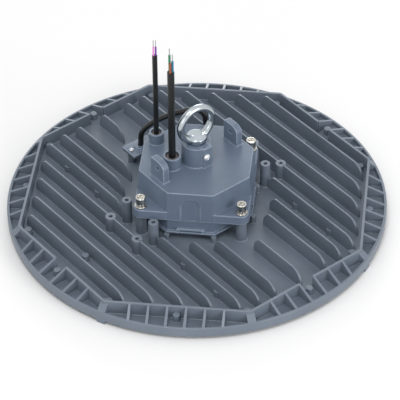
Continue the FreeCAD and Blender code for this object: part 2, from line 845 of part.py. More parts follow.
def lens_screw(p):
    seat = lens_z + lens_recess
    head = disc(lens_screw_head_r, lens_screw_head_height, p.x, p.y, seat - lens_screw_head_height)
    shank_top = floor_z + pin_height - pin_hole_roof - 0.5
    return head.fuse(disc(m4_r, shank_top - seat, p.x, p.y, seat))


# Driver
def driver_board():
    board = octagon_solid(circuit_half, circuit_z, circuit_half, parts_z)
    holes = [disc(m3_r, 5, p.x, p.y, circuit_z - 1) for p in standoff_places()]
    return board.cut(Part.makeCompound(holes))


def driver_board_screw(p):
    head = disc(board_head_r, board_head_height, p.x, p.y, parts_z)
    return head.fuse(disc(m3_r, standoff_height, p.x, p.y, parts_z - standoff_height))


def transformer_core():
    # A frame with a middle leg, seen from the front, through the depth of the core
    x, y, z = transformer_xy[0], transformer_xy[1], parts_z
    frame = box(x - core_width / 2, x + core_width / 2, y - core_depth / 2, y + core_depth / 2, z, z + core_height)
    window = box(x - core_width / 2 + core_limb, x + core_width / 2 - core_limb, y - core_depth, y + core_depth,
                 z + core_limb, z + core_height - core_limb)
    leg = box(x - core_limb, x + core_limb, y - core_depth / 2, y + core_depth / 2,
              z + core_limb, z + core_height - core_limb)
    return frame.cut(window).fuse(leg)


def transformer_coil():
    x, y = transformer_xy
    half_x = core_width / 2 - core_limb
    half_y = core_depth / 2 + half_x - core_limb
    low, high = parts_z + core_limb, parts_z + core_height - core_limb
    coil = moved(rounded_box(half_x, half_y, 2.0, low, high), x, y)
    return coil.cut(box(x - core_limb, x + core_limb, y - core_depth / 2, y + core_depth / 2, low, high))


def capacitor(p):
    can = disc(capacitor_r, capacitor_height, p.x, p.y, parts_z)
    return can.makeFillet(0.8, edges_at(can, parts_z + capacitor_height))


def choke():
    centre = V(choke_xy[0] - choke_width / 2, choke_xy[1], parts_z + choke_r)
    outer = Part.makeCylinder(choke_r, choke_width, centre, V(1, 0, 0))
    return outer.cut(Part.makeCylinder(choke_r / 2, choke_width, centre, V(1, 0, 0)))


def terminal_block(ways, height):
    # The wire mouths face +X.
    half = ways * terminal_pitch / 2
    body = box(-terminal_depth / 2, terminal_depth / 2, -half, half, parts_z, parts_z + height)
    mouths = []
    for i in range(ways):
        low = -half + terminal_pitch * i + 1
        mouths.append(box(terminal_depth / 2 - 3, terminal_depth, low, low + terminal_pitch - 2,
                          parts_z + 2, parts_z + 6))
    return body.cut(Part.makeCompound(mouths))


def all_nodes():
    mains_cut = roof_z + mains_length
    dim_cut = roof_z + dim_length
    brown, blue, earth = core_places(mains_xy, 1.9, (-52, 50, 175))
    pink, purple = core_places(dim_xy, 1.2, (-125, 55))
    nodes = {
        "heat_sink": heat_sink(),
        "driver_tray": tray(),
        "driver_box_gasket": seam_gasket_ring(),
        "driver_cover": driver_cover(),
        "cover_screws": group(cover_screw, post_places()),
        "cover_spring_washers": group(spring_washer, post_places()),
        "cover_flat_washers": group(flat_washer, post_places()),
        "eye_bolt": eye_bolt(),
        "eye_lock_screw": eye_lock_screw(),
        "mains_cable_seal": socket_seal(mains_xy, mains_socket_r, mains_socket_height, mains_r),
        "dimming_cable_seal": socket_seal(dim_xy, dim_socket_r, dim_socket_height, dim_r),
        "mains_cable": cable(mains_xy, mains_r, mains_length),
        "brown_core": core(brown, mains_core_r, mains_cut, 12.0),
        "blue_core": core(blue, mains_core_r, mains_cut, 13.5),
        "earth_core": core(earth, mains_core_r, mains_cut, 20.0),
        "mains_conductors": Part.makeCompound([core(blue, conductor_r, mains_cut + 13.5, 9.0),
                                               core(earth, conductor_r, mains_cut + 20.0, 8.5)]),
        "dimming_cable": cable(dim_xy, dim_r, dim_length),
        "pink_core": core(pink, dim_core_r, dim_cut, 11.0),
        "purple_core": core(purple, dim_core_r, dim_cut, 11.0),
        "dimming_conductors": Part.makeCompound([core(pink, 0.4, dim_cut + 11.0, 8.5),
                                                 core(purple, 0.4, dim_cut + 11.0, 8.5)]),
        "led_lead": tube(lead_route(), lead_r),
        "lead_gland_plate": gland_plate(),
        "lead_gland_gasket": gland_sheet(),
        "lead_gland_seal": gland_seal(),
        "lead_gland_screws": group(gland_screw, gland_screw_places()),
        "lead_inlet_seal": inlet_seal(),
        "led_board": led_board(),
        "led_packages": led_packages(),
        "led_board_screws": group(board_screw, board_pin_places()),
        "lens_plate": lens_plate(),
        "lens_gasket": lens_gasket(),
        "lens_screws": group(lens_screw, cover_pin_places()),
        "driver_board": driver_board(),
        "driver_board_screws": group(driver_board_screw, standoff_places()),
        "transformer_core": transformer_core(),
        "transformer_coil": transformer_coil(),
        "bulk_capacitors": group(capacitor, [V(x, y, 0) for x, y in capacitor_places]),
        "line_choke": choke(),
        "mains_terminal_block": moved(terminal_block(3, terminal_height), *mains_xy),
        "dimming_terminal_block": moved(terminal_block(2, terminal_height), dim_xy[0] + 3.0, dim_xy[1]),
        "output_terminal_block": turned(moved(terminal_block(2, output_height), lead_end - terminal_depth / 2, 0), 135),
    }
    return nodes


os.makedirs("parts", exist_ok=True)
for name, shape in all_nodes().items():
    shape.exportStep("parts/" + name + ".step")
    print(name, "solids", len(shape.Solids), "valid", shape.isValid(), "volume", round(shape.Volume, 1))
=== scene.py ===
import bmesh
import bpy
import math
import numpy as np
from mathutils import Matrix


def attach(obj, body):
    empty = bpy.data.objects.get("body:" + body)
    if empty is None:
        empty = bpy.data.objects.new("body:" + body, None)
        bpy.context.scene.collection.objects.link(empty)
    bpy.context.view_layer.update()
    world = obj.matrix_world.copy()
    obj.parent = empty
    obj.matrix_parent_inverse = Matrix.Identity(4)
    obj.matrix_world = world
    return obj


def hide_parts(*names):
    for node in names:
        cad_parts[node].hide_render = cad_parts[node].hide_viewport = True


# A round high bay light, seen from above: cast heat sink, driver box, hanging eye and two cable tails.
# Sizes are in millimetres and are turned to metres as each mesh is made.
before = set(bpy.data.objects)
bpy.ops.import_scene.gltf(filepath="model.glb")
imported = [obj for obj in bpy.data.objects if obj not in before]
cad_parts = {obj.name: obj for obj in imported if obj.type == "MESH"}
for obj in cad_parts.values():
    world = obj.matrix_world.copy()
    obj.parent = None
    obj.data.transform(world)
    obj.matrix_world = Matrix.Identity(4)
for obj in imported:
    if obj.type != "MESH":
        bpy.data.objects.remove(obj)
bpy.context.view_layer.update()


# Heat sink: one die casting in aluminium with parallel cooling fins, an eight-sided wall and a rim.
# It is powder coated in dark grey, and its roots and edges keep the small radii of the mould.
def linear(code):
    """Linear RGBA of an sRGB hex code."""
    parts = np.array([int(code[i:i + 2], 16) for i in (0, 2, 4)]) / 255
    parts = np.where(parts <= 0.04045, parts / 12.92, ((parts + 0.055) / 1.055) ** 2.4)
    return (*parts.tolist(), 1.0)


def add_node(tree, kind, settings=None, links=None):
    """Adds a node. Settings are its properties or sockets, and links bring sockets to its inputs."""
    node = tree.nodes.new(kind)
    for key, value in (settings or {}).items():
        if isinstance(key, str) and hasattr(node, key):
            setattr(node, key, value)
        else:
            node.inputs[key].default_value = value
    for key, socket in (links or {}).items():
        tree.links.new(socket, node.inputs[key])
    return node


def finish(name, base, mottle, patch, gloss, grit, relief, edge=None, edge_mm=0.5, corner=0.0, **fixed):
    """Two colours mixed by soft noise with patches of so many mm, a roughness that follows the same noise
    between the two gloss values, and a bump of so many mm from grains of the grit size in mm, which is drawn
    coarser than the real one where that wouldn't show. Where an edge colour is given, it is a painted
    highlight that takes over on outer edges that are sharper than edge_mm, and by the corner share in inner
    corners."""
    material = bpy.data.materials.new(name)
    material.use_nodes = True
    tree = material.node_tree
    tree.nodes.clear()
    place = add_node(tree, "ShaderNodeTexCoord").outputs["Object"]
    cloud = add_node(tree, "ShaderNodeTexNoise", {"Scale": 1000 / patch, "Detail": 4.0}, {"Vector": place})
    spread = add_node(tree, "ShaderNodeMapRange", {"From Min": 0.32, "From Max": 0.68},
                      {"Value": cloud.outputs["Fac"]}).outputs["Result"]
    colour = add_node(tree, "ShaderNodeMix", {"data_type": "RGBA", 6: linear(base), 7: linear(mottle)},
                      {0: spread})
    # Painted highlight: the edge colour is mixed in where the bevelled normal turns away from the surface's
    # normal, as light would catch a rounded edge. Ambient occlusion holds it back in inner corners.
    if edge:
        eased = add_node(tree, "ShaderNodeBevel", {"samples": 6, "Radius": edge_mm * 0.001})
        level = add_node(tree, "ShaderNodeNewGeometry")
        along = add_node(tree, "ShaderNodeVectorMath", {"operation": "DOT_PRODUCT"},
                         {0: eased.outputs["Normal"], 1: level.outputs["Normal"]})
        painted_edge_highlight = add_node(tree, "ShaderNodeMapRange", {"From Min": 0.985, "From Max": 0.90},
                        {"Value": along.outputs["Value"]})
        shelter = add_node(tree, "ShaderNodeAmbientOcclusion",
                           {"samples": 6, "only_local": True, "Distance": edge_mm * 0.003})
        highlight_share = add_node(tree, "ShaderNodeMapRange", {"From Min": 0.80, "From Max": 0.97, "To Min": corner},
                        {"Value": shelter.outputs["AO"]})
        painted_edge_highlight = add_node(tree, "ShaderNodeMath", {"operation": "MULTIPLY"},
                        {0: painted_edge_highlight.outputs["Result"], 1: highlight_share.outputs["Result"]})
        colour = add_node(tree, "ShaderNodeMix", {"data_type": "RGBA", 7: linear(edge)},
                          {0: painted_edge_highlight.outputs["Value"], 6: colour.outputs[2]})
    rough = add_node(tree, "ShaderNodeMapRange", {"To Min": gloss[0], "To Max": gloss[1]}, {"Value": spread})
    grains = add_node(tree, "ShaderNodeTexNoise", {"Scale": 1000 / grit, "Detail": 2.0}, {"Vector": place})
    bump = add_node(tree, "ShaderNodeBump", {"Distance": relief * 0.001}, {"Height": grains.outputs["Fac"]})
    values = {key.replace("_", " "): value for key, value in fixed.items()}
    shader = add_node(tree, "ShaderNodeBsdfPrincipled", values,
                      {"Base Color": colour.outputs[2], "Roughness": rough.outputs["Result"],
                       "Normal": bump.outputs["Normal"]})
    add_node(tree, "ShaderNodeOutputMaterial", None, {"Surface": shader.outputs["BSDF"]})
    return material


def rounded(corners, steps=4, closed=False):
    """The line through corners (x, y, radius), with each corner turned into an arc of its radius."""
    points = []
    for i, (x, y, radius) in enumerate(corners):
        corner = np.array((x, y), float)
        a = np.array(corners[i - 1][:2]) - corner
        b = np.array(corners[(i + 1) % len(corners)][:2]) - corner
        open_end = not closed and i in (0, len(corners) - 1)
        if radius == 0 or open_end:
            points.append(corner[None])
            continue
        a /= np.linalg.norm(a)
        b /= np.linalg.norm(b)
        half = math.acos(np.clip(a @ b, -1, 1)) / 2
        centre = corner + (a + b) / np.linalg.norm(a + b) * radius / math.sin(half)
        start = corner + a * radius / math.tan(half) - centre
        end = corner + b * radius / math.tan(half) - centre
        sweep = math.pi - 2 * half
        s = np.linspace(0, 1, steps + 1)[:, None]
        points.append(centre + (np.sin((1 - s) * sweep) * start + np.sin(s * sweep) * end) / math.sin(sweep))
    return np.concatenate(points)


def turned(outline, centre=(0.0, 0.0), steps=40, loop=False):
    """Surface of revolution: point (r, z) of the outline goes to (r cos a, r sin a, z) about the centre. A
    loop is an outline that closes on itself, as a ring's does."""
    angle = np.linspace(0, 2 * np.pi, steps, endpoint=False)
    r, z = outline[:, :1], outline[:, 1:]
    grid = np.stack([centre[0] + r * np.cos(angle), centre[1] + r * np.sin(angle), z + 0 * angle], axis=-1)
    return grid, loop


def capped(rows):
    """A grid whose first and last rows are drawn together to their middles, which closes its ends."""
    first, last = (np.repeat(rows[k].mean(0)[None, None], rows.shape[1], axis=1) for k in (0, -1))
    return np.concatenate([first, rows, last]), False


# Ribs and bosses start this far under the face that carries them.
buried = 0.4


def ridge(path, heights, half_foot, half_top, full, root, crown, foot, pinch=None):
    """A rib carried along a path: at each station the section has a concave root, a side that leans in from
    half_foot to half_top over the full height, and a round crown, and its levels shrink with the height."""
    path = np.asarray(path, float)
    heights = np.asarray(heights, float)
    pinch = np.ones(len(path)) if pinch is None else np.asarray(pinch, float)
    ahead = np.gradient(path, axis=0)
    before = np.diff(path, axis=0)
    ahead[0], ahead[-1] = before[0], before[-1]
    ahead /= np.linalg.norm(ahead, axis=1)[:, None]
    left = np.stack([-ahead[:, 1], ahead[:, 0]], axis=1)
    bend = np.ones(len(path))
    if len(path) > 2:
        unit = before / np.linalg.norm(before, axis=1)[:, None]
        bend[1:-1] = 1 / np.sqrt((1 + (unit[:-1] * unit[1:]).sum(1)) / 2)
    a = np.linspace(0, np.pi / 2, 5)
    level = np.concatenate([[-buried], root * (1 - np.cos(a)), full - crown + crown * np.sin(a)])
    extra = np.concatenate([[root], root * (1 - np.sin(a)), -crown * (1 - np.cos(a))])
    rise = level[None] * (heights / full)[:, None]
    lean = half_foot - (half_foot - half_top) * np.clip(rise, 0, None) / full
    wide = (lean + extra[None]) * (pinch * bend)[:, None]
    offset = np.concatenate([wide, -wide[:, ::-1]], axis=1)
    rise = np.concatenate([rise, rise[:, ::-1]], axis=1)
    flat = path[:, None] + left[:, None] * offset[..., None]
    return capped(np.concatenate([flat, (foot + rise)[..., None]], axis=-1))


def stacked(plan, layers):
    """A closed body from outlines one above the other: plan(size) is the outline for each (size, z)."""
    rows = [np.column_stack([plan(size), np.full(len(plan(size)), z)]) for size, z in layers]
    return capped(np.stack(rows))


def spun(grid, azimuth):
    """A grid turned about the vertical axis by an azimuth in degrees."""
    points, loop = grid
    c, s = math.cos(math.radians(azimuth)), math.sin(math.radians(azimuth))
    return points @ np.array(((c, s, 0), (-s, c, 0), (0, 0, 1))), loop


def piece(name, grids, material, slot, *nodes, angle=34):
    """One mesh from closed grids of points in mm: quads between neighbours, with the columns joined round and
    the rows too where the grid says so, turned so that each shell's volume is positive."""
    points, faces, start = [], [], 0
    for grid, loop in grids:
        rows, columns = grid.shape[:2]
        index = start + np.arange(rows * columns).reshape(rows, columns)
        upper = np.roll(index, -1, axis=0) if loop else index[1:]
        lower = index if loop else index[:-1]
        quads = np.stack([lower, np.roll(lower, -1, 1), np.roll(upper, -1, 1), upper], axis=-1).reshape(-1, 4)
        flat = grid.reshape(-1, 3)
        a, b, c, d = (flat[quads[:, k] - start] for k in range(4))
        volume = (a * (np.cross(b, c) + np.cross(c, d))).sum()
        faces.append(quads if volume > 0 else quads[:, ::-1])
        points.append(flat)
        start += rows * columns
    mesh = bpy.data.meshes.new(name)
    mesh.from_pydata((np.concatenate(points) * 0.001).tolist(), [], np.concatenate(faces).tolist())
    work = bmesh.new()
    work.from_mesh(mesh)
    bmesh.ops.remove_doubles(work, verts=work.verts, dist=2e-6)
    bmesh.ops.dissolve_degenerate(work, edges=work.edges, dist=1e-6)
    work.to_mesh(mesh)
    work.free()
    mesh.materials.append(material)
    mesh.shade_smooth()
    mesh.set_sharp_from_angle(angle=math.radians(angle))
    made = bpy.data.objects.new(name, mesh)
    bpy.context.scene.collection.objects.link(made)
    weight = made.modifiers.new("weighted normals", "WEIGHTED_NORMAL")
    weight.keep_sharp = True
    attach(made, "root")
    if nodes:
        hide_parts(*nodes)
    return made


# Polyester powder coat on die-cast aluminium: satin dark grey with a fine even grain, and a painted highlight
# in a paler grey on the sharp edges.
sink_coat = finish("powder_coat_on_cast_heat_sink", "646E7A", "6B7581", 40, (0.34, 0.44), 0.9, 0.014,
                   "929CA8", Specular_IOR_Level=0.5)

# Heights are above the plane of the four feet, and the fins run along X.
foot_height, plate_z, floor_z, rim_z = 4.0, 7.0, 9.5, 14.9
fin_full, wall_full = 18.0, 14.5
rim_r, rim_in = 200.0, 197.0
rim_middle = rim_r - 1.5
wall_in = 177.05
wall_corner = wall_in / math.cos(math.pi / 8)
short_nose, long_nose, nose_taper = 11.5, 15.5, 2.2


def post(x, y, radius, height, root=1.0, hole=0.0, depth=0.0, steps=32):
    """A round boss, turned about its own axis, with a concave root, a small top edge and a blind hole where
    hole isn't zero."""
    foot, top = floor_z, floor_z + height
    corners = [(0, foot - buried, 0), (radius + root, foot - buried, 0), (radius + root, foot, 0),
               (radius + 0.12, foot, root * 0.95), (radius, top, 0.5)]
    if hole:
        corners += [(hole, top, 0.3), (hole, top - depth, 0), (0, top - depth, 0)]
    else:
        corners += [(0, top, 0)]
    return turned(rounded(corners), (x, y), steps)


def fin(x0, x1, y, nose=(True, True)):
    """A fin along X: its top edge falls to the floor in a quarter ellipse at each end that has a nose, and
    its other ends run square into a boss. Its sides come together in the same way over the taper."""
    a = np.linspace(0, np.pi / 2, 14)
    left = x0 + short_nose * (1 - np.cos(a)) if nose[0] else np.array([x0])
    right = x1 - long_nose * (1 - np.cos(a[::-1])) if nose[1] else np.array([x1])
    x = np.concatenate([left, right])
    square_end = 15.0
    from_left = x - x0 if nose[0] else x - x0 + square_end
    from_right = x1 - x if nose[1] else x1 - x + square_end
    height = fin_full
    for distance, length in ((from_left, short_nose), (from_right, long_nose)):
        height = height * np.sqrt(1 - (1 - np.clip(distance / length, 0, 1)) ** 2)
    pinch = np.sqrt(1 - (1 - np.clip(np.minimum(from_left, from_right) / nose_taper, 0, 1)) ** 2)
    path = np.column_stack([x, np.full(len(x), y)])
    return ridge(path, np.maximum(height, 0.02), half_foot=1.8, half_top=0.85, full=fin_full, root=0.8,
                 crown=0.22, foot=floor_z, pinch=pinch)


def fin_end(y):
    """How far out a fin reaches: it stops short of the eight-sided wall, and a little sooner where its row
    points at one of the wall's corners."""
    gap, corner_gap, near = 6.8, 2.2, 3.6
    corner_y = wall_in * math.tan(math.pi / 8)
    trim = corner_gap if abs(abs(y) - corner_y) < near else 0.0
    return min(wall_in, wall_in * math.sqrt(2) - abs(y)) - gap - trim


def on_circle(radius, azimuth):
    """The point (x, y) at a radius and an azimuth in degrees."""
    return radius * math.cos(math.radians(azimuth)), radius * math.sin(math.radians(azimuth))


# The disc from its middle below to its middle above: flat board recess, land with the groove of the lens
# gasket, recess of the screw pins, and the rim.
land_in, groove_in, groove_out, land_out = 167.0, 170.0, 174.5, 190.0
land_z, groove_z, draft = 4.7, 5.9, 0.1
disc_outline = rounded([(0, plate_z, 0), (land_in, plate_z, 0.5), (land_in, land_z, 0.2),
                        (groove_in, land_z, 0.1), (groove_in, groove_z, 0.1), (groove_out, groove_z, 0.1),
                        (groove_out, land_z, 0.1), (land_out, land_z, 0.4), (land_out, plate_z, 0.5),
                        (rim_in, plate_z, 0.6), (rim_in, foot_height, 0.25), (rim_r, foot_height, 1.0),
                        (rim_r, rim_z, 1.0), (rim_in + draft, rim_z, 0.7), (rim_in - draft, floor_z, 1.3),
                        (150, floor_z, 0), (60, floor_z, 0), (0, floor_z, 0)])
casting = [turned(disc_outline, steps=400)]

# Rows of fins: the middle one and the two next to it on either side stop clear of the driver box, the third
# clear of a pair of bracket bosses, the fourth runs into another pair, and three more run right across.
row_pitch, first_row, boss_row, boss_x = 21.0, 33.0, 96.4, 22.5
inner_ends = (70.3, 55.4, 28.5)
middle_left, middle_right = -126.3, 94.7
fins = [(-fin_end(0), middle_left, 0.0), (middle_right, fin_end(0), 0.0)]
inside_boss = 3.7
boss_out, boss_in = boss_x + inside_boss, boss_x - inside_boss
boss_end = fin_end(boss_row)
for side in (-1, 1):
    for row, start in enumerate(inner_ends):
        y = first_row + row_pitch * row
        fins += [(-fin_end(y), -start, side * y), (start, fin_end(y), side * y)]
    for row in (4, 5, 6):
        y = first_row + row_pitch * row
        fins.append((-fin_end(y), fin_end(y), side * y))
    casting += [fin(-boss_end, -boss_out, side * boss_row, (True, False)),
                fin(-boss_in, boss_in, side * boss_row, (False, False)),
                fin(boss_out, boss_end, side * boss_row, (False, True))]
casting += [fin(*ends) for ends in fins]

# The wall has a notch in the middle of four of its sides, between the first pair of ribs.
rib_pitch, notch_half = 19.0, 9.5
quarter = rounded([(wall_in, notch_half, 0), (*on_circle(wall_corner, 22.5), 4.0),
                   (*on_circle(wall_corner, 67.5), 4.0), (notch_half, wall_in, 0)], steps=6)
wall = ridge(quarter, np.full(len(quarter), wall_full), half_foot=1.75, half_top=1.3, full=wall_full,
             root=0.8, crown=0.25, foot=floor_z)
casting += [spun(wall, 90 * k) for k in range(4)]


def rib(offset, x_in, x_out, half_foot, half_top):
    """A rib from the wall out to the rim, whose top falls in a straight line from one's height to the
    other's."""
    s = np.linspace(0, 1, 9)
    heights = wall_full - (wall_full - (rim_z - floor_z)) * s
    path = np.column_stack([x_in + (x_out - x_in) * s, np.full(len(s), offset)])
    return ridge(path, heights, half_foot, half_top, wall_full, root=0.7, crown=0.22, foot=floor_z)


for k in range(8):
    for row in range(3):
        offset = notch_half + rib_pitch * row
        reach = math.sqrt(rim_middle ** 2 - offset ** 2)
        for side in (-1, 1):
            casting.append(spun(rib(side * offset, wall_in, reach, half_foot=1.6, half_top=1.15), 45 * k))
    corner_rib = rib(0.0, wall_corner - 3.0, rim_middle, half_foot=4.45, half_top=4.0)
    casting.append(spun(corner_rib, 22.5 + 45 * k))

# Pins over the screws of the lens and of the board.
lens_pin_r, end_pin_y, board_pin_y = 182.0, 146.3, 75.0
pins = [on_circle(lens_pin_r, 22.5 * k) for k in range(16)]
pins += [(sx * x, sy * board_pin_y) for x in (73.5, 127.0) for sx in (-1, 1) for sy in (-1, 1)]
pins += [(0, -end_pin_y), (0, end_pin_y)]
casting += [post(x, y, radius=3.7, height=8.0, root=0.8) for x, y in pins]

# Drilled bosses of the bracket, posts and low rests of the driver box, and the posts of the lead gland.
ear_r, rest_r, rest_turn = 73.7, 66.67, 23.4
gland_x, gland_screw_y = -97.0, 12.2
ears = [on_circle(ear_r, 90 * k) for k in range(4)]
rests = [on_circle(rest_r, 90 * k + turn) for k in range(4) for turn in (-rest_turn, rest_turn)]
for sx in (-1, 1):
    for sy in (-1, 1):
        for y, radius, height in ((board_pin_y, 5.25, 28.6), (boss_row, 5.65, 18.0)):
            boss = post(sx * boss_x, sy * y, radius, height, root=1.2, hole=2.1, depth=15.0, steps=40)
            casting.append(boss)
casting += [post(x, y, radius=5.6, height=25.0, root=1.2, hole=3.0, depth=14.0, steps=40) for x, y in ears]
casting += [post(x, y, radius=2.75, height=8.0, root=0.8) for x, y in rests]
casting.append(post(gland_x, 0.0, radius=9.0, height=12.0, hole=3.0, depth=12.0, steps=48))
for side in (-1, 1):
    casting.append(post(gland_x, side * gland_screw_y, radius=3.75, height=12.0, hole=1.5, depth=10.0))


foot_half, foot_inset = 4.65, 0.05


def foot_plan(size):
    """A short stretch of the rim seen from above, between arcs of its outer and its inner circle, drawn in
    by the size on every side."""
    half = foot_half - size
    y = np.linspace(-half, half, 8)
    outer, inner = rim_r - foot_inset - size, rim_in + foot_inset + size
    return np.concatenate([np.column_stack([np.sqrt(outer ** 2 - y ** 2), y]),
                           np.column_stack([np.sqrt(inner ** 2 - y ** 2), y])[::-1]])


foot = stacked(foot_plan, [(0.6, 0.0), (0.2, 0.12), (0.0, 0.6), (0.0, 5.2), (0.3, 5.4)])
casting += [spun(foot, 22.5 + 90 * k) for k in range(4)]
piece("heat_sink_casting", casting, sink_coat, "casting_coat", "heat_sink")


# Driver tray: the cast lower half of the driver box. It stands on eight small bosses of the heat sink.
# Four hoods on its slanting sides keep rain off the slots behind them.
joint_z, joint_half = 34.5, 60.6


def eight_sided(radius, fine=0):
    """Outline of a regular octagon with rounded corners as a function of its half width. The side that faces
    -45 degrees, after the seventh corner, has so many more points along its middle."""
    arc_steps, corners_before, fine_reach = 4, 7, 13.5

    def plan(half):
        reach = half / math.cos(math.pi / 8)
        corners = [(*on_circle(reach, (i + 0.5) * 45), radius) for i in range(8)]
        points = rounded(corners, arc_steps, closed=True)
        t = np.linspace(-fine_reach, fine_reach, fine)[:, None] * half / joint_half
        middle = np.array(on_circle(half, -45.0)) + t * np.array(on_circle(1.0, 45.0))
        before = corners_before * (arc_steps + 1)
        return np.concatenate([points[:before], middle, points[before:]])
    return plan


def slab(x0, x1, y0, y1, radius):
    """Outline of a rectangle with rounded corners, grown by the size on every side."""
    def plan(size):
        r = max(radius + size, 0.05)
        corners = [(x0 - size, y0 - size, r), (x1 + size, y0 - size, r), (x1 + size, y1 + size, r),
                   (x0 - size, y1 + size, r)]
        return rounded(corners, 4, closed=True)
    return plan


# The same powder coat from the box's own batch, a little bluer than the heat sink's, with a softer painted
# highlight on its edges that also shows faintly in its inner corners.
box_coat = finish("powder_coat_on_cast_box", "5A6778", "626F81", 40, (0.32, 0.42), 0.9, 0.010, "A8B4C3", 1.6,
                  0.1, Specular_IOR_Level=0.5)
tray_z, tray_in_z, tray_top = 17.5, 20.0, 33.3
tray_in, tray_out, flange_out = 56.0, 58.5, 61.5
tray_section = rounded([(20, tray_in_z, 0), (tray_in, tray_in_z, 1.5), (tray_in, tray_top, 0.3),
                        (tray_out, tray_top, 0.4), (tray_out, tray_in_z, 0.8), (flange_out, tray_in_z, 1.1),
                        (flange_out, tray_z, 0.8), (20, tray_z, 0)])
tray = [stacked(eight_sided(2.0), tray_section)]
hood_in, hood_out, hood_half, cheek_in = 57.5, 61.3, 14.5, 11.5
hood_layers = [(-0.2, 21.9), (0.0, 22.1), (0.0, 22.7), (-0.1, 23.1), (-0.4, 23.6), (-0.9, 24.0)]
for azimuth in (45, 135, 225, 315):
    hood = stacked(slab(hood_in, hood_out, -hood_half, hood_half, 0.5), hood_layers)
    tray.append(spun(hood, azimuth))
    for y0, y1 in ((-hood_half, -cheek_in), (cheek_in, hood_half)):
        tray.append(spun(stacked(slab(hood_in, hood_out, y0, y1, 0.4), [(0.0, 19.0), (0.0, 22.6)]), azimuth))
board_post = rounded([(0, 19.8, 0), (3.5, 19.8, 0), (3.5, 26.0, 0.2), (0, 26.0, 0)])
tray += [turned(board_post, on_circle(42, 90 * k), 24) for k in range(4)]
piece("driver_tray_casting", tray, box_coat, "casting_coat", "driver_tray")


# Driver cover: the cast upper half of the driver box, with four screw ears, two cable sockets, the boss of
# the hanging eye, two drilled lugs and the socket of the lead behind. It is coated as the tray is.
cover_height, wall_lean = 34.0, 3.0
roof_z = joint_z + cover_height
ceiling_z, wall_top = roof_z - 4.0, 64.0


def cover_half(z):
    """Half width of the cover's outer wall, which leans in by a straight line from the joint to the roof."""
    return joint_half - wall_lean * (z - joint_z) / cover_height


# Forms that stand on the wall start inside its thickness, at in_wall.
in_wall = 57.0
arch_levels = np.linspace(joint_z + 0.9, wall_top - 0.6, 76)
cover_section = np.concatenate([
    rounded([(20, ceiling_z, 0), (53.5, ceiling_z, 1.5), (56.4, joint_z, 0.2), (joint_half, joint_z, 0.35),
             (60.54, joint_z + 0.7, 0)]),
    np.column_stack([cover_half(arch_levels), arch_levels]),
    rounded([(cover_half(wall_top), wall_top, 0), (cover_half(roof_z), roof_z, 0.5), (20, roof_z, 0)], 8)])
shell, _ = stacked(eight_sided(2.2, fine=78), cover_section)

# The arched panel of the front wall is pressed in by 1 mm with a smooth step across its edge.
arch_half, arch_centre_z, arch_edge = 10.2, 51.3, 0.8
outward, sideways = np.array(on_circle(1.0, -45.0)), np.array(on_circle(1.0, 45.0))
along_wall = shell[..., :2] @ sideways
above = np.clip(shell[..., 2] - arch_centre_z, 0, None)
inside = arch_half - np.hypot(along_wall, above)
step = np.clip(inside / arch_edge, 0, 1)
on_wall = (shell[..., :2] @ outward > in_wall) & (shell[..., 2] < wall_top)
shell[..., :2] -= (on_wall * step ** 2 * (3 - 2 * step))[..., None] * outward
cover = [(shell, False)]


def ear_plan(size):
    """A corner of the square flange outside the eight-sided wall, drawn in by the size. Its two sides lie in
    the planes of the walls next to it, and start a hair under their faces."""
    half = joint_half - size
    side = half * math.tan(math.pi / 8)
    edge = [(in_wall, side - 4.0), (half - 7.21, side + 5.52), (half - 0.863, side + 0.834)]
    return rounded([(x, -y, 0) for x, y in edge] + [(half * math.sqrt(2), 0, 9.0 - size)]
                   + [(x, y, 0) for x, y in edge[::-1]], 10, closed=True)


ear_top = 44.2
ear_levels = ((0.3, joint_z), (0.0, joint_z + 0.3), (0.0, ear_top - 0.8), (0.1, ear_top - 0.4),
              (0.35, ear_top - 0.1), (0.7, ear_top))
ear_layers = [(joint_half - cover_half(z) + ease, z) for ease, z in ear_levels]
cover += [spun(stacked(ear_plan, ear_layers), azimuth) for azimuth in (0, 90, 180, 270)]


def socket(x, y, radius, height, bore):
    """A hollow boss on the roof, turned about the cable's axis. Its seal closes the bore lower down."""
    outline = rounded([(0, roof_z - 2, 0), (radius + 1.5, roof_z - 2, 0), (radius + 1.5, roof_z, 0),
                       (radius + 0.15, roof_z, 1.3), (radius, roof_z + height, 0.7),
                       (bore, roof_z + height, 0.4), (bore, roof_z - 1.5, 0), (0, roof_z - 1.5, 0)])
    return turned(outline, (x, y), 64)


mains_x, mains_y, mains_bore = -7.6, -26.0, 7.3
dimming_x, dimming_y, dimming_bore = -49.8, -13.9, 5.7
cover.append(socket(mains_x, mains_y, radius=9.5, height=14.0, bore=mains_bore))
cover.append(socket(dimming_x, dimming_y, radius=7.9, height=12.6, bore=dimming_bore))

# Boss of the eye, with a flat pad on the side of the locking screw.
eye_seat = 92.8
boss_outline = rounded([(0, roof_z - 1, 0), (17.4, roof_z - 1, 0), (17.4, roof_z, 0), (15.6, roof_z, 1.7),
                        (15.4, eye_seat, 0.9), (5.2, eye_seat, 0), (5.2, eye_seat - 6, 0),
                        (0, eye_seat - 6, 0)])
cover.append(turned(boss_outline, steps=80))
cover.append(stacked(slab(4.0, 16.9, -3.8, 7.4, 1.0),
                     [(1.4, roof_z - 0.5), (1.4, roof_z), (0.45, roof_z + 0.3), (0.0, roof_z + 1.4),
                      (0.0, eye_seat - 0.75), (-0.2, eye_seat - 0.25), (-0.7, eye_seat - 0.02)]))


def around(corners, steps, gap):
    """A closed outline with rounded corners whose straight runs are divided into lengths of about the gap."""
    points = rounded(corners, steps, closed=True)
    loop = np.concatenate([points, points[:1]])
    run = np.concatenate([[0], np.cumsum(np.linalg.norm(np.diff(loop, axis=0), axis=1))])
    where = np.unique(np.concatenate([run[:-1], np.arange(0, run[-1] - gap / 2, gap)]).round(3))
    return np.column_stack([np.interp(where, run, loop[:, k]) for k in (0, 1)])


lug_x0, lug_x1, lug_top = -11.0, 10.8, 91.9


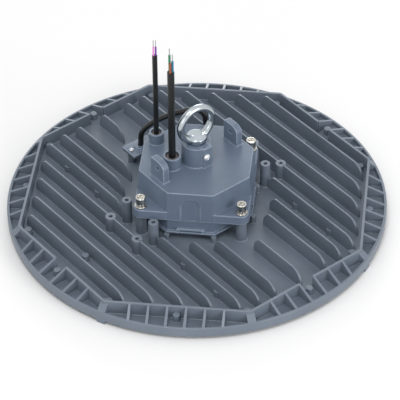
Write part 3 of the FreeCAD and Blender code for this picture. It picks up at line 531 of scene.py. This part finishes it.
def lug(y0, y1):
    """An upright plate with a hole: its loops run from the hole out over one face, the edge and the other."""
    outline = around([(lug_x0, roof_z - 0.6, 0), (lug_x1, roof_z - 0.6, 0), (lug_x1, lug_top, 8.5),
                      (lug_x0, lug_top, 2.5)], 8, 2.0)
    centre = np.array((0.0, roof_z + 14.0))
    out = outline - centre
    length = np.linalg.norm(out, axis=1)[:, None]
    rim = out / length
    loops = [(rim * 2.1, y1 - 0.35), (rim * 2.45, y1), (out - rim * 0.6, y1), (out - rim * 0.18, y1 - 0.18),
             (out, y1 - 0.6), (out, y0 + 0.6), (out - rim * 0.18, y0 + 0.18), (out - rim * 0.6, y0),
             (rim * 2.45, y0), (rim * 2.1, y0 + 0.35)]
    rows = [np.column_stack([flat[:, 0], np.full(len(flat), y), flat[:, 1] + centre[1]]) for flat, y in loops]
    return np.stack(rows), True


for y0, y1 in ((-51.7, -44.3), (45.1, 52.5)):
    cover.append(lug(y0, y1))
    cover.append(stacked(slab(lug_x0, lug_x1, y0, y1, 0.3),
                         [(1.2, roof_z - 0.5), (1.2, roof_z), (0.5, roof_z + 0.25), (0.1, roof_z + 0.9),
                          (-0.3, roof_z + 1.6)]))

# Socket of the lead behind, joined to the wall by a block of its own width.
inlet_x, inlet_y = -48.083, 50.912
inlet_out, inlet_bore, inlet_top, inlet_floor = 6.5, 4.6, 51.5, 48.0
inlet_outline = rounded([(0, joint_z, 0), (inlet_out, joint_z, 0.3), (inlet_out, inlet_top, 0.7),
                         (inlet_bore, inlet_top, 0.3), (inlet_bore, inlet_floor, 0), (0, inlet_floor, 0)])
cover.append(turned(inlet_outline, (inlet_x, inlet_y), 48))
inlet_layers = [(-0.3, joint_z), (0.0, joint_z + 0.3), (0.0, 50.6), (-0.25, 51.2), (-0.8, 51.45)]
cover.append(spun(stacked(slab(in_wall, 69.5, -inlet_out, inlet_out, 0.4), inlet_layers), 135))
piece("driver_cover_casting", cover, box_coat, "casting_coat", "driver_cover")


# Gaskets and cable seals: dark silicone rubber moulded into rings for the cables, and grey silicone sheet cut
# into gaskets. Each is held between the parts that it seals.
def dress(material, *nodes):
    """Gives CAD nodes whose shape is right a material of their own."""
    for node in nodes:
        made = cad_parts[node]
        if not made.material_slots:
            made.data.materials.append(material)
        for holder in made.material_slots:
            holder.material = material


# Moulded silicone rubber: a dull warm charcoal that shows the seals as rings round the shinier cables.
silicone = finish("moulded_silicone_rubber", "55514E", "5E5A57", 12, (0.5, 0.62), 0.6, 0.012,
                  Specular_IOR_Level=0.4)
# Silicone sheet: a flat mid grey, the thin dark line between two coated castings.
sheet_rubber = finish("grey_silicone_sheet", "43474A", "4C5053", 10, (0.6, 0.7), 0.5, 0.012)
dress(sheet_rubber, "driver_box_gasket", "lead_gland_gasket", "lens_gasket")


def seal(x, y, bore, radius, low, top):
    """A moulded ring, turned about the cable's axis, whose outline swells a little at its top."""
    outline = rounded([(bore, low, 0), (radius, low, 0), (radius, top - 0.5, 0.3),
                       (bore + 1.2, top + 0.35, 0.5), (bore, top + 0.1, 0.2)], 3, closed=True)
    return turned(outline, (x, y), 48, loop=True)


# Each seal's bore is a hair narrower than its cable, which the rubber grips.
mains_r, dimming_r, lead_r, grip = 3.75, 2.75, 3.0, 0.05
seal_low, mains_seal_top, dimming_seal_top = 66.6, 80.6, 79.2
mains_ring = seal(mains_x, mains_y, mains_r - grip, mains_bore, seal_low, mains_seal_top)
dimming_ring = seal(dimming_x, dimming_y, dimming_r - grip, dimming_bore, seal_low, dimming_seal_top)
inlet_ring = seal(inlet_x, inlet_y, lead_r - grip, inlet_bore, inlet_floor + 0.1, inlet_top - 1.0)
gland_ring = seal(gland_x, 0.0, lead_r - grip, 5.0, 22.5, 25.1)
piece("mains_seal", [mains_ring], silicone, "black_seal", "mains_cable_seal")
piece("dimming_seal", [dimming_ring], silicone, "black_seal", "dimming_cable_seal")
piece("lead_seals", [inlet_ring, gland_ring], silicone, "black_seal", "lead_inlet_seal", "lead_gland_seal")


# Screws of the driver box: four M6 socket cap screws in zinc-plated steel, each on a split spring washer
# and a flat washer, through the ears of the cover into the tapped posts of the heat sink.
# Bright zinc plating: a slightly yellowish mirror with a soft haze, the only warm glints on the box.
zinc = finish("bright_zinc_plated_steel", "D2D0CA", "C5C3BD", 6, (0.10, 0.18), 0.4, 0.003, Metallic=1.0)


def cap_screw(x, y, seat):
    """Knurled head with a hexagonal socket: the radius follows a fine wave outside and a hexagon inside."""
    steps, teeth, head_height, thread_r, socket_half = 144, 36, 8.5, 3.0, 2.9
    angle = np.linspace(0, 2 * np.pi, steps, endpoint=False)
    hexagon = socket_half / np.cos((angle % (np.pi / 3)) - np.pi / 6)
    knurl = 1 + 0.004 * np.cos(teeth * angle)
    plain = np.ones(steps)
    top = seat + head_height
    rows = [(0.0, seat - 6, plain), (thread_r, seat - 6, plain), (thread_r, seat, plain), (4.8, seat, plain),
            (5.1, seat + 0.35, plain), (5.1, seat + 0.9, knurl), (5.1, top - 1.4, knurl),
            (5.3, top - 0.9, plain), (5.25, top - 0.5, plain), (4.9, top - 0.12, plain), (4.5, top, plain),
            (3.75, top, plain), (1.0, top - 0.3, hexagon), (1.0, top - 2.2, hexagon),
            (0.9, top - 2.3, hexagon), (0.0, top - 2.35, plain)]
    r = np.stack([size * shape for size, _, shape in rows])
    z = np.array([level for _, level, _ in rows])[:, None]
    return np.stack([x + r * np.cos(angle), y + r * np.sin(angle), z + 0 * r], axis=-1), False


def washer(x, y, outer, inner, low, height, edge):
    """A flat ring: a rectangle with rounded edges, turned about the screw."""
    outline = rounded([(inner, low, edge), (outer, low, edge), (outer, low + height, edge),
                       (inner, low + height, edge)], 3, closed=True)
    return turned(outline, (x, y), 48, loop=True)


def split_washer(x, y, low, turn):
    """A square wire bent into one turn of a low helix, with its cut at the turn's azimuth."""
    stations, half_cut, half_rise = 60, 6, 0.12
    angle = np.radians(turn + np.linspace(half_cut, 360 - half_cut, stations))
    rise = np.linspace(-half_rise, half_rise, stations)
    wire = rounded([(3.15, low + 0.1, 0.25), (5.3, low + 0.1, 0.25), (5.3, low + 1.9, 0.25),
                    (3.15, low + 1.9, 0.25)], 2, closed=True)
    r, z = wire[None, :, 0], wire[None, :, 1] + rise[:, None]
    return capped(np.stack([x + r * np.cos(angle)[:, None], y + r * np.sin(angle)[:, None], z], axis=-1))


# The stack on each ear: flat washer, split washer and the head of the screw.
flat_height, split_height = 1.8, 2.0
split_low = ear_top + flat_height
screw_seat = split_low + split_height
piece("cap_screws", [cap_screw(x, y, screw_seat) for x, y in ears], zinc, "bright_steel", "cover_screws",
      angle=40)
first_cut, next_cut = 200, 67
split = [split_washer(x, y, split_low, first_cut + next_cut * k) for k, (x, y) in enumerate(ears)]
piece("split_washers", split, zinc, "bright_steel", "cover_spring_washers")
flat = [washer(x, y, outer=6.5, inner=3.2, low=ear_top, height=flat_height, edge=0.3) for x, y in ears]
piece("flat_washers", flat, zinc, "bright_steel", "cover_flat_washers")


# Hanging eye: a drop-forged M10 eye bolt, ground and chromed, with its collar down on the boss.
# A small button-head screw through the flat of the boss locks its thread.
# Bright chrome over ground forging marks: cool streaks that turn dark where they look past the lamps.
chrome = finish("bright_chrome_on_forged_steel", "C0C8CD", "B4BCC1", 14, (0.16, 0.24), 4.0, 0.004,
                Metallic=1.0, Specular_Tint=linear("7C858C"))
ring_z, ring_r, ring_wire, ring_azimuth = 115.8, 19.0, 4.0, 86.0


def ring_of_eye():
    """A torus on edge: its wire grows wider by a bell curve about the lowest point, towards the collar."""
    a = np.linspace(0, 2 * np.pi, 120, endpoint=False)[:, None]
    b = np.linspace(0, 2 * np.pi, 32, endpoint=False)[None, :]
    from_low = np.pi - np.abs(np.pi - (a + np.pi / 2) % (2 * np.pi))
    low = np.exp(-(from_low / 0.62) ** 2)
    wire_r = ring_wire + 0.5 * low * np.cos(b)
    wide = 1 + 0.35 * low
    flat = ring_r + wire_r * np.cos(b)
    u, n = (np.array((*on_circle(1.0, azimuth), 0.0)) for azimuth in (ring_azimuth, ring_azimuth - 90))
    up = np.array((0.0, 0.0, 1.0))
    grid = (flat * np.cos(a))[..., None] * u + (flat * np.sin(a))[..., None] * up
    return grid + (wire_r * wide * np.sin(b))[..., None] * n + np.array((0, 0, ring_z)), True


collar_outline = rounded([(0, eye_seat - 5.8, 0), (5.0, eye_seat - 5.8, 0), (5.0, eye_seat, 0),
                          (9.6, eye_seat, 0.5), (10.8, eye_seat + 3.2, 2.0), (10.8, eye_seat + 7.0, 0.9),
                          (9.9, eye_seat + 7.9, 0.5), (0, eye_seat + 7.9, 0)])
collar = turned(collar_outline, steps=72)
piece("eye_bolt_forging", [ring_of_eye(), collar], chrome, "chromed_eye", "eye_bolt", angle=60)

# Tumbled stainless steel: evenly hazy and pale, so the small head reads as one bright dot.
tumbled = finish("tumbled_stainless_steel", "E2E3E6", "D6D8DC", 3, (0.42, 0.52), 0.3, 0.004, Metallic=1.0)
lock_outline = rounded([(0, 5.0, 0), (2.4, 5.0, 0), (2.4, 16.9, 0), (4.0, 16.9, 0.25), (4.0, 17.7, 0.5),
                        (3.1, 19.2, 1.4), (1.05, 19.8, 0.15), (0.95, 19.0, 0.1), (0, 18.9, 0)])
# The screw is turned about the upright axis and then laid along X.
lock, _ = turned(lock_outline, steps=48)
lock = lock[..., [2, 0, 1]] + np.array((0, 0, roof_z + 13.0))
piece("eye_locking_screw", [(lock, False)], tumbled, "bright_steel", "eye_lock_screw")


# Mains cable: three cores in a round black PVC jacket that comes up through its seal. It is cut off square,
# and two of its cores are stripped for wiring.
def strand(name, route, radius, material, slot, *nodes):
    """A round wire on a smooth spline of order 3 that has the route's points as its control points."""
    curve = bpy.data.curves.new(name, "CURVE")
    curve.dimensions = "3D"
    line = curve.splines.new("NURBS")
    line.points.add(len(route) - 1)
    flat = np.column_stack([np.array(route, float) * 0.001, np.ones(len(route))])
    line.points.foreach_set("co", flat.ravel())
    line.order_u = 3
    line.use_endpoint_u = True
    curve.resolution_u = 8
    curve.bevel_depth = radius * 0.001
    curve.bevel_resolution = 6
    curve.use_fill_caps = True
    curve.materials.append(material)
    made = bpy.data.objects.new(name, curve)
    bpy.context.scene.collection.objects.link(made)
    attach(made, "root")
    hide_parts(*nodes)
    return made


# Extruded black PVC: smooth and faintly shiny, with one long soft streak down each cable.
jacket = finish("extruded_black_pvc_jacket", "111213", "161718", 25, (0.26, 0.34), 0.8, 0.014,
                Specular_IOR_Level=0.45)
# Coloured PVC insulation: plain satin colours that tell the cores apart.
brown_pvc, blue_pvc, green_pvc, pink_pvc, purple_pvc = (
    finish(colour + "_pvc_insulation", base, mottle, 6, (0.35, 0.45), 0.5, 0.006)
    for colour, base, mottle in (("brown", "8A4824", "98522B"), ("blue", "196A8C", "217597"),
                                 ("green", "2E7453", "37805E"), ("pink", "DC86CC", "E494D4"),
                                 ("purple", "6C3A98", "7844A2")))
# Tinned copper: pale grey metal, broken up by the grain of its fine wires.
tinned = finish("tinned_copper_strands", "C9CBCC", "B2B5B8", 1.5, (0.3, 0.42), 0.3, 0.02, Metallic=1.0)

mains_top = 190.0
mains_route = [(mains_x, mains_y, z) for z in (79.5, 92.0, 108.0, 135.0, 162.0, mains_top)]
mains = strand("mains_jacket", mains_route, mains_r, jacket, "black_jacket", "mains_cable")


def jacket_inside(x, y, radius, top):
    """The cable inside the box: a plain cylinder from its lower end up to where its free length starts."""
    low = 37.6
    return turned(np.array([(0, low), (radius, low), (radius, top), (0, top)]), (x, y), 32)


piece("mains_jacket_inside", [jacket_inside(mains_x, mains_y, mains_r - grip, 79.6)], jacket, "black_jacket",
      "mains_cable")


def core_at(x, y, spread, azimuth):
    """The place of a core whose middle is so far from the cable's middle, at an azimuth."""
    dx, dy = on_circle(spread, azimuth)
    return x + dx, y + dy


def tail(name, at, radius, low, length, material, slot, node):
    """One core straight up from the jacket's end."""
    route = [(*at, low + length * share) for share in np.linspace(0, 1, 5)]
    return strand(name, route, radius, material, slot, node)


core_r, wire_bunch_r = 1.25, 0.6
brown_out, blue_out, earth_out = 12.0, 13.5, 20.0
brown_at, blue_at, earth_at = (core_at(mains_x, mains_y, 1.9, azimuth) for azimuth in (-52, 50, 175))
brown = tail("brown_core_tail", brown_at, core_r, mains_top, brown_out, brown_pvc, "brown_insulation",
             "brown_core")
blue = tail("blue_core_tail", blue_at, core_r, mains_top, blue_out, blue_pvc, "blue_insulation", "blue_core")
earth = tail("earth_core_tail", earth_at, core_r, mains_top, earth_out, green_pvc, "green_insulation",
             "earth_core")


def bare_wire(x, y, radius, low, length):
    """A bunch of seven fine wires twisted together: the radius follows their lobes round it, which turn with
    the height, and falls to the middle along a quarter circle at the tip."""
    wires, twist, tip, columns = 7, 0.55, 0.03, 42
    angle = np.linspace(0, 2 * np.pi, columns, endpoint=False)[None, :]
    level = np.linspace(0, 1, 26)[:, None]
    lobes = np.abs(np.cos((angle + level * length * twist) * wires / 2))
    shrink = np.sqrt(np.clip(1 - np.clip((level - (1 - tip)) / tip, 0, 1) ** 2, 0.02, 1))
    r = radius * (0.86 + 0.14 * lobes) * shrink
    z = low + level * length + 0 * r
    return capped(np.stack([x + r * np.cos(angle), y + r * np.sin(angle), z], axis=-1))


mains_wires = piece("mains_bare_wires", [bare_wire(*blue_at, wire_bunch_r, mains_top + blue_out, 9.0),
                                         bare_wire(*earth_at, wire_bunch_r, mains_top + earth_out, 8.5)],
                    tinned, "tinned_strand", "mains_conductors")


# Dimming cable: two thin cores in a round black PVC jacket, beside the mains cable and a little shorter.
# It is cut off square too, and both of its cores are stripped.
dimming_top, thin_core_r, thin_bunch_r, thin_out = 180.5, 0.95, 0.45, 11.0
dimming_route = [(dimming_x, dimming_y, z) for z in (78.1, 88.0, 104.0, 130.0, 156.0, dimming_top)]
dimming = strand("dimming_jacket", dimming_route, dimming_r, jacket, "black_jacket", "dimming_cable")
piece("dimming_jacket_inside", [jacket_inside(dimming_x, dimming_y, dimming_r - grip, 78.2)], jacket,
      "black_jacket", "dimming_cable")
pink_at, purple_at = (core_at(dimming_x, dimming_y, 1.2, azimuth) for azimuth in (-125, 55))
pink = tail("pink_core_tail", pink_at, thin_core_r, dimming_top, thin_out, pink_pvc, "pink_insulation",
            "pink_core")
purple = tail("purple_core_tail", purple_at, thin_core_r, dimming_top, thin_out, purple_pvc,
              "purple_insulation", "purple_core")
dimming_wires = piece("dimming_bare_wires", [bare_wire(*at, thin_bunch_r, dimming_top + thin_out, 8.5)
                                             for at in (pink_at, purple_at)],
                      tinned, "tinned_strand", "dimming_conductors")


# Lead of the light engine: a black jacketed lead that comes up through the gland, humps over behind the
# box and goes down into the cover's socket.
# The route is given along the rear wall of the box and straight out from it, in axes turned by 45 degrees.
lead_route = [(-68.6, 68.6, 7.0), (-68.6, 68.6, 37.5), (-65.6, 69.0, 46.5), (-58.0, 69.0, 55.5),
              (-47.0, 69.4, 63.5), (-36.6, 69.7, 69.0), (-25.5, 69.9, 73.8), (-15.0, 70.0, 77.6),
              (-8.5, 70.0, 79.2), (-2.5, 70.0, 77.5), (1.2, 70.0, 71.5), (2.0, 70.0, 64.0),
              (2.0, 70.0, 44.5), (2.0, 66.5, 40.0), (2.0, 48.0, 40.0)]
cos_45 = math.sqrt(0.5)
strand("engine_lead", [((x - y) * cos_45, (x + y) * cos_45, z) for x, y, z in lead_route], lead_r,
       jacket, "black_jacket", "led_lead")


# Lead gland: a small coated plate whose collar holds the seal of the lead, on a grey sheet gasket. Two
# stainless pan-head M3 screws hold it down on the posts of the heat sink.
gland_low, gland_top, collar_top = 22.5, 25.0, 27.0
gland_half_x, gland_half_y = 10.9, 16.8
gland_plan = slab(gland_x - gland_half_x, gland_x + gland_half_x, -gland_half_y, gland_half_y, 1.5)
gland_layers = [(-0.2, gland_low), (0.0, gland_low + 0.2), (0.0, gland_top - 0.5), (-0.15, gland_top - 0.15),
                (-0.5, gland_top)]
gland_collar = rounded([(0, gland_top - 1, 0), (8.4, gland_top - 1, 0), (8.4, gland_top, 0),
                        (7.5, gland_top, 0.9), (7.4, collar_top, 0.6), (3.1, collar_top, 0.3),
                        (3.1, gland_top + 0.2, 0), (0, gland_top + 0.2, 0)])
gland = [stacked(gland_plan, gland_layers), turned(gland_collar, (gland_x, 0.0), 56)]
piece("lead_gland_cover", gland, box_coat, "casting_coat", "lead_gland_plate")


def cross_head(x, y, seat, radius, height):
    """A pan head whose dome is pressed in where either arm of a cross lies, with sloping flanks. Its outline
    is given in shares of the radius and the height."""
    out = np.array([0.0, 1.0, 1.0, 0.97, 0.9, 0.8, 0.7, 0.62, 0.55, 0.45, 0.35, 0.25, 0.15, 0.0])
    up = np.array([0.0, 0.0, 0.45, 0.68, 0.83, 0.92, 0.97, 0.985, 0.99, 1.0, 1.0, 1.0, 1.0, 1.0])
    arm_half, arm_reach, depth = 0.28 * radius * 0.55, 0.66 * radius, 0.6 * height
    angle = np.linspace(0, 2 * np.pi, 96, endpoint=False)[None, :]
    r, rise = radius * out[:, None], height * up[:, None]
    across = np.minimum(np.abs(r * np.cos(angle)), np.abs(r * np.sin(angle)))
    arm = np.clip((arm_half - across) / 0.12, 0, 1) * np.clip((arm_reach - r) / 0.2, 0, 1)
    sunk = (rise > height * 0.9) * arm * depth
    return np.stack([x + r * np.cos(angle), y + r * np.sin(angle), seat + rise - sunk], axis=-1), False


shank = np.array([(0, 12.6), (1.45, 12.6), (1.45, gland_top + 0.1), (0, gland_top + 0.1)])
gland_screws = [cross_head(gland_x, side * gland_screw_y, gland_top, radius=2.5, height=1.8)
                for side in (-1, 1)]
gland_screws += [turned(shank, (gland_x, side * gland_screw_y), 16) for side in (-1, 1)]
piece("gland_screws", gland_screws, tumbled, "bright_steel", "lead_gland_screws")


# Light engine under the casting: a round white-masked aluminium board with 100 yellow-topped packages,
# under a clear polycarbonate lens plate on its rubber gasket, with pan-head screws.
# White solder mask: an even, slightly glossy white behind the lens.
dress(finish("white_solder_mask", "E9EAE6", "F0F1EE", 30, (0.4, 0.5), 1.0, 0.004), "led_board")
# Phosphor in silicone: soft yellow tops through which light spreads a little.
dress(finish("yellow_phosphor_silicone", "E3C65A", "EBD06B", 2, (0.35, 0.45), 0.3, 0.01,
             Subsurface_Weight=0.15, Subsurface_Radius=(0.001, 0.001, 0.0004)), "led_packages")
# Clear polycarbonate: glassy, with sharp reflections over the white board.
dress(finish("moulded_clear_polycarbonate", "EEF2F3", "F4F7F8", 60, (0.03, 0.07), 3.0, 0.002,
             Transmission_Weight=1.0, IOR=1.585), "lens_plate")
dress(zinc, "led_board_screws", "lens_screws")


# Driver inside the box: a green circuit board on four posts with its transformer, choke, capacitors and
# terminal blocks. It is closed in by the cover and seen only when that is lifted.
# Green solder mask: deep glossy green.
dress(finish("green_solder_mask", "1F5A36", "27683F", 5, (0.3, 0.4), 0.8, 0.006), "driver_board")
# Pressed ferrite: matt charcoal with a ceramic grain.
dress(finish("pressed_ferrite", "2D2C2E", "38373A", 1.5, (0.55, 0.7), 0.4, 0.015), "transformer_core")
# Polyester tape: shiny yellow film.
dress(finish("yellow_polyester_tape", "D9B83A", "E2C44A", 8, (0.25, 0.35), 1.5, 0.010), "transformer_coil")
# Enamelled copper: reddish metal under clear varnish.
dress(finish("enamelled_copper_wire", "9A4F2C", "B3653A", 1.2, (0.25, 0.35), 0.5, 0.05, Metallic=0.8),
      "line_choke")
# Capacitor sleeve: shiny blue-black shrink film.
dress(finish("printed_capacitor_sleeve", "20242B", "2A2F38", 8, (0.25, 0.35), 0.8, 0.004), "bulk_capacitors")
# Polyamide: semi-matt green, as terminal blocks are moulded.
dress(finish("green_polyamide", "3E8E4C", "489A56", 6, (0.4, 0.5), 0.6, 0.008),
      "mains_terminal_block", "dimming_terminal_block", "output_terminal_block")
dress(zinc, "driver_board_screws")


# Floor: a wide sheet of matt white paper. The light's own soft shadow is all that is seen on it.
paper = bpy.data.materials.new("matt_white_paper")
paper.use_nodes = True
tree = paper.node_tree
tree.nodes.clear()
# Matt paper gives a plain white ground without any reflection.
white = add_node(tree, "ShaderNodeBsdfDiffuse", {"Color": linear("E9E9E9")})
add_node(tree, "ShaderNodeOutputMaterial", None, {"Surface": white.outputs["BSDF"]})
far = 40
sheet = bpy.data.meshes.new("floor")
sheet.from_pydata([(-far, -far, 0), (far, -far, 0), (far, far, 0), (-far, far, 0)], [], [(0, 1, 2, 3)])
sheet.materials.append(paper)
floor = bpy.data.objects.new("floor", sheet)
bpy.context.scene.collection.objects.link(floor)

# World: plain white light from all round, with white behind the object and in its reflections.
world = bpy.data.worlds.new("studio")
bpy.context.scene.world = world
world.use_nodes = True
tree = world.node_tree
tree.nodes.clear()
path = add_node(tree, "ShaderNodeLightPath")
seen = add_node(tree, "ShaderNodeMath", {"operation": "MAXIMUM"},
                {0: path.outputs["Is Camera Ray"], 1: path.outputs["Is Glossy Ray"]})
seen = add_node(tree, "ShaderNodeMath", {"operation": "MAXIMUM"},
                {0: seen.outputs["Value"], 1: path.outputs["Is Transmission Ray"]})
soft = add_node(tree, "ShaderNodeBackground", {"Color": linear("FFFFFF"), "Strength": 0.81})
plain = add_node(tree, "ShaderNodeBackground", {"Color": linear("FFFFFF"), "Strength": 1.0})
blend = add_node(tree, "ShaderNodeMixShader", None,
                 {0: seen.outputs["Value"], 1: soft.outputs["Background"], 2: plain.outputs["Background"]})
add_node(tree, "ShaderNodeOutputWorld", None, {"Surface": blend.outputs["Shader"]})


# Lamps: four round soft boxes, one high up on the camera's side, one to its right, one low to its left and
# one low behind the light. They draw the bright edges of the fins, on top of the coat's painted edge
# highlight, and the streaks in the chrome.
def lamp(name, location, size, power):
    """A round soft box that faces the middle of the light. Its size is in metres and its power in watts."""
    target = (0, 0, 0.05)
    data = bpy.data.lights.new(name, "AREA")
    data.shape = "DISK"
    data.size = size
    data.energy = power
    made = bpy.data.objects.new(name, data)
    back = np.array(location, float) - np.array(target, float)
    back /= np.linalg.norm(back)
    side = np.cross((0, 0, 1), back)
    side /= np.linalg.norm(side)
    up = np.cross(back, side)
    place = Matrix([(*row, at) for row, at in zip(np.column_stack([side, up, back]).tolist(), location)])
    place.resize_4x4()
    made.matrix_world = place
    bpy.context.scene.collection.objects.link(made)


lamp("soft_box_above", (0.8, -1.05, 2.75), size=1.2, power=27)
lamp("soft_box_right", (3.1, 0.6, 1.1), size=1.7, power=38)
lamp("soft_box_left", (2.0, -2.9, 1.0), size=1.7, power=10)
lamp("soft_box_behind", (-2.7, 2.2, 0.75), size=1.5, power=45)

# Camera: the photograph's view, about 40 degrees down on the light and across its fins.
lens = bpy.data.cameras.new("camera")
lens.sensor_fit = "HORIZONTAL"
lens.sensor_width = 36.0
lens.lens = 211.445
camera = bpy.data.objects.new("camera", lens)
camera.matrix_world = Matrix(((0.62446875, -0.50408114, 0.59660789, 1.481795),
                              (0.78102791, 0.40873178, -0.47215859, -1.168488),
                              (-0.00584636, 0.7608157, 0.64894167, 1.621957),
                              (0.0, 0.0, 0.0, 1.0)))
bpy.context.scene.collection.objects.link(camera)
bpy.context.scene.camera = camera
bpy.context.scene.view_settings.view_transform = "Standard"
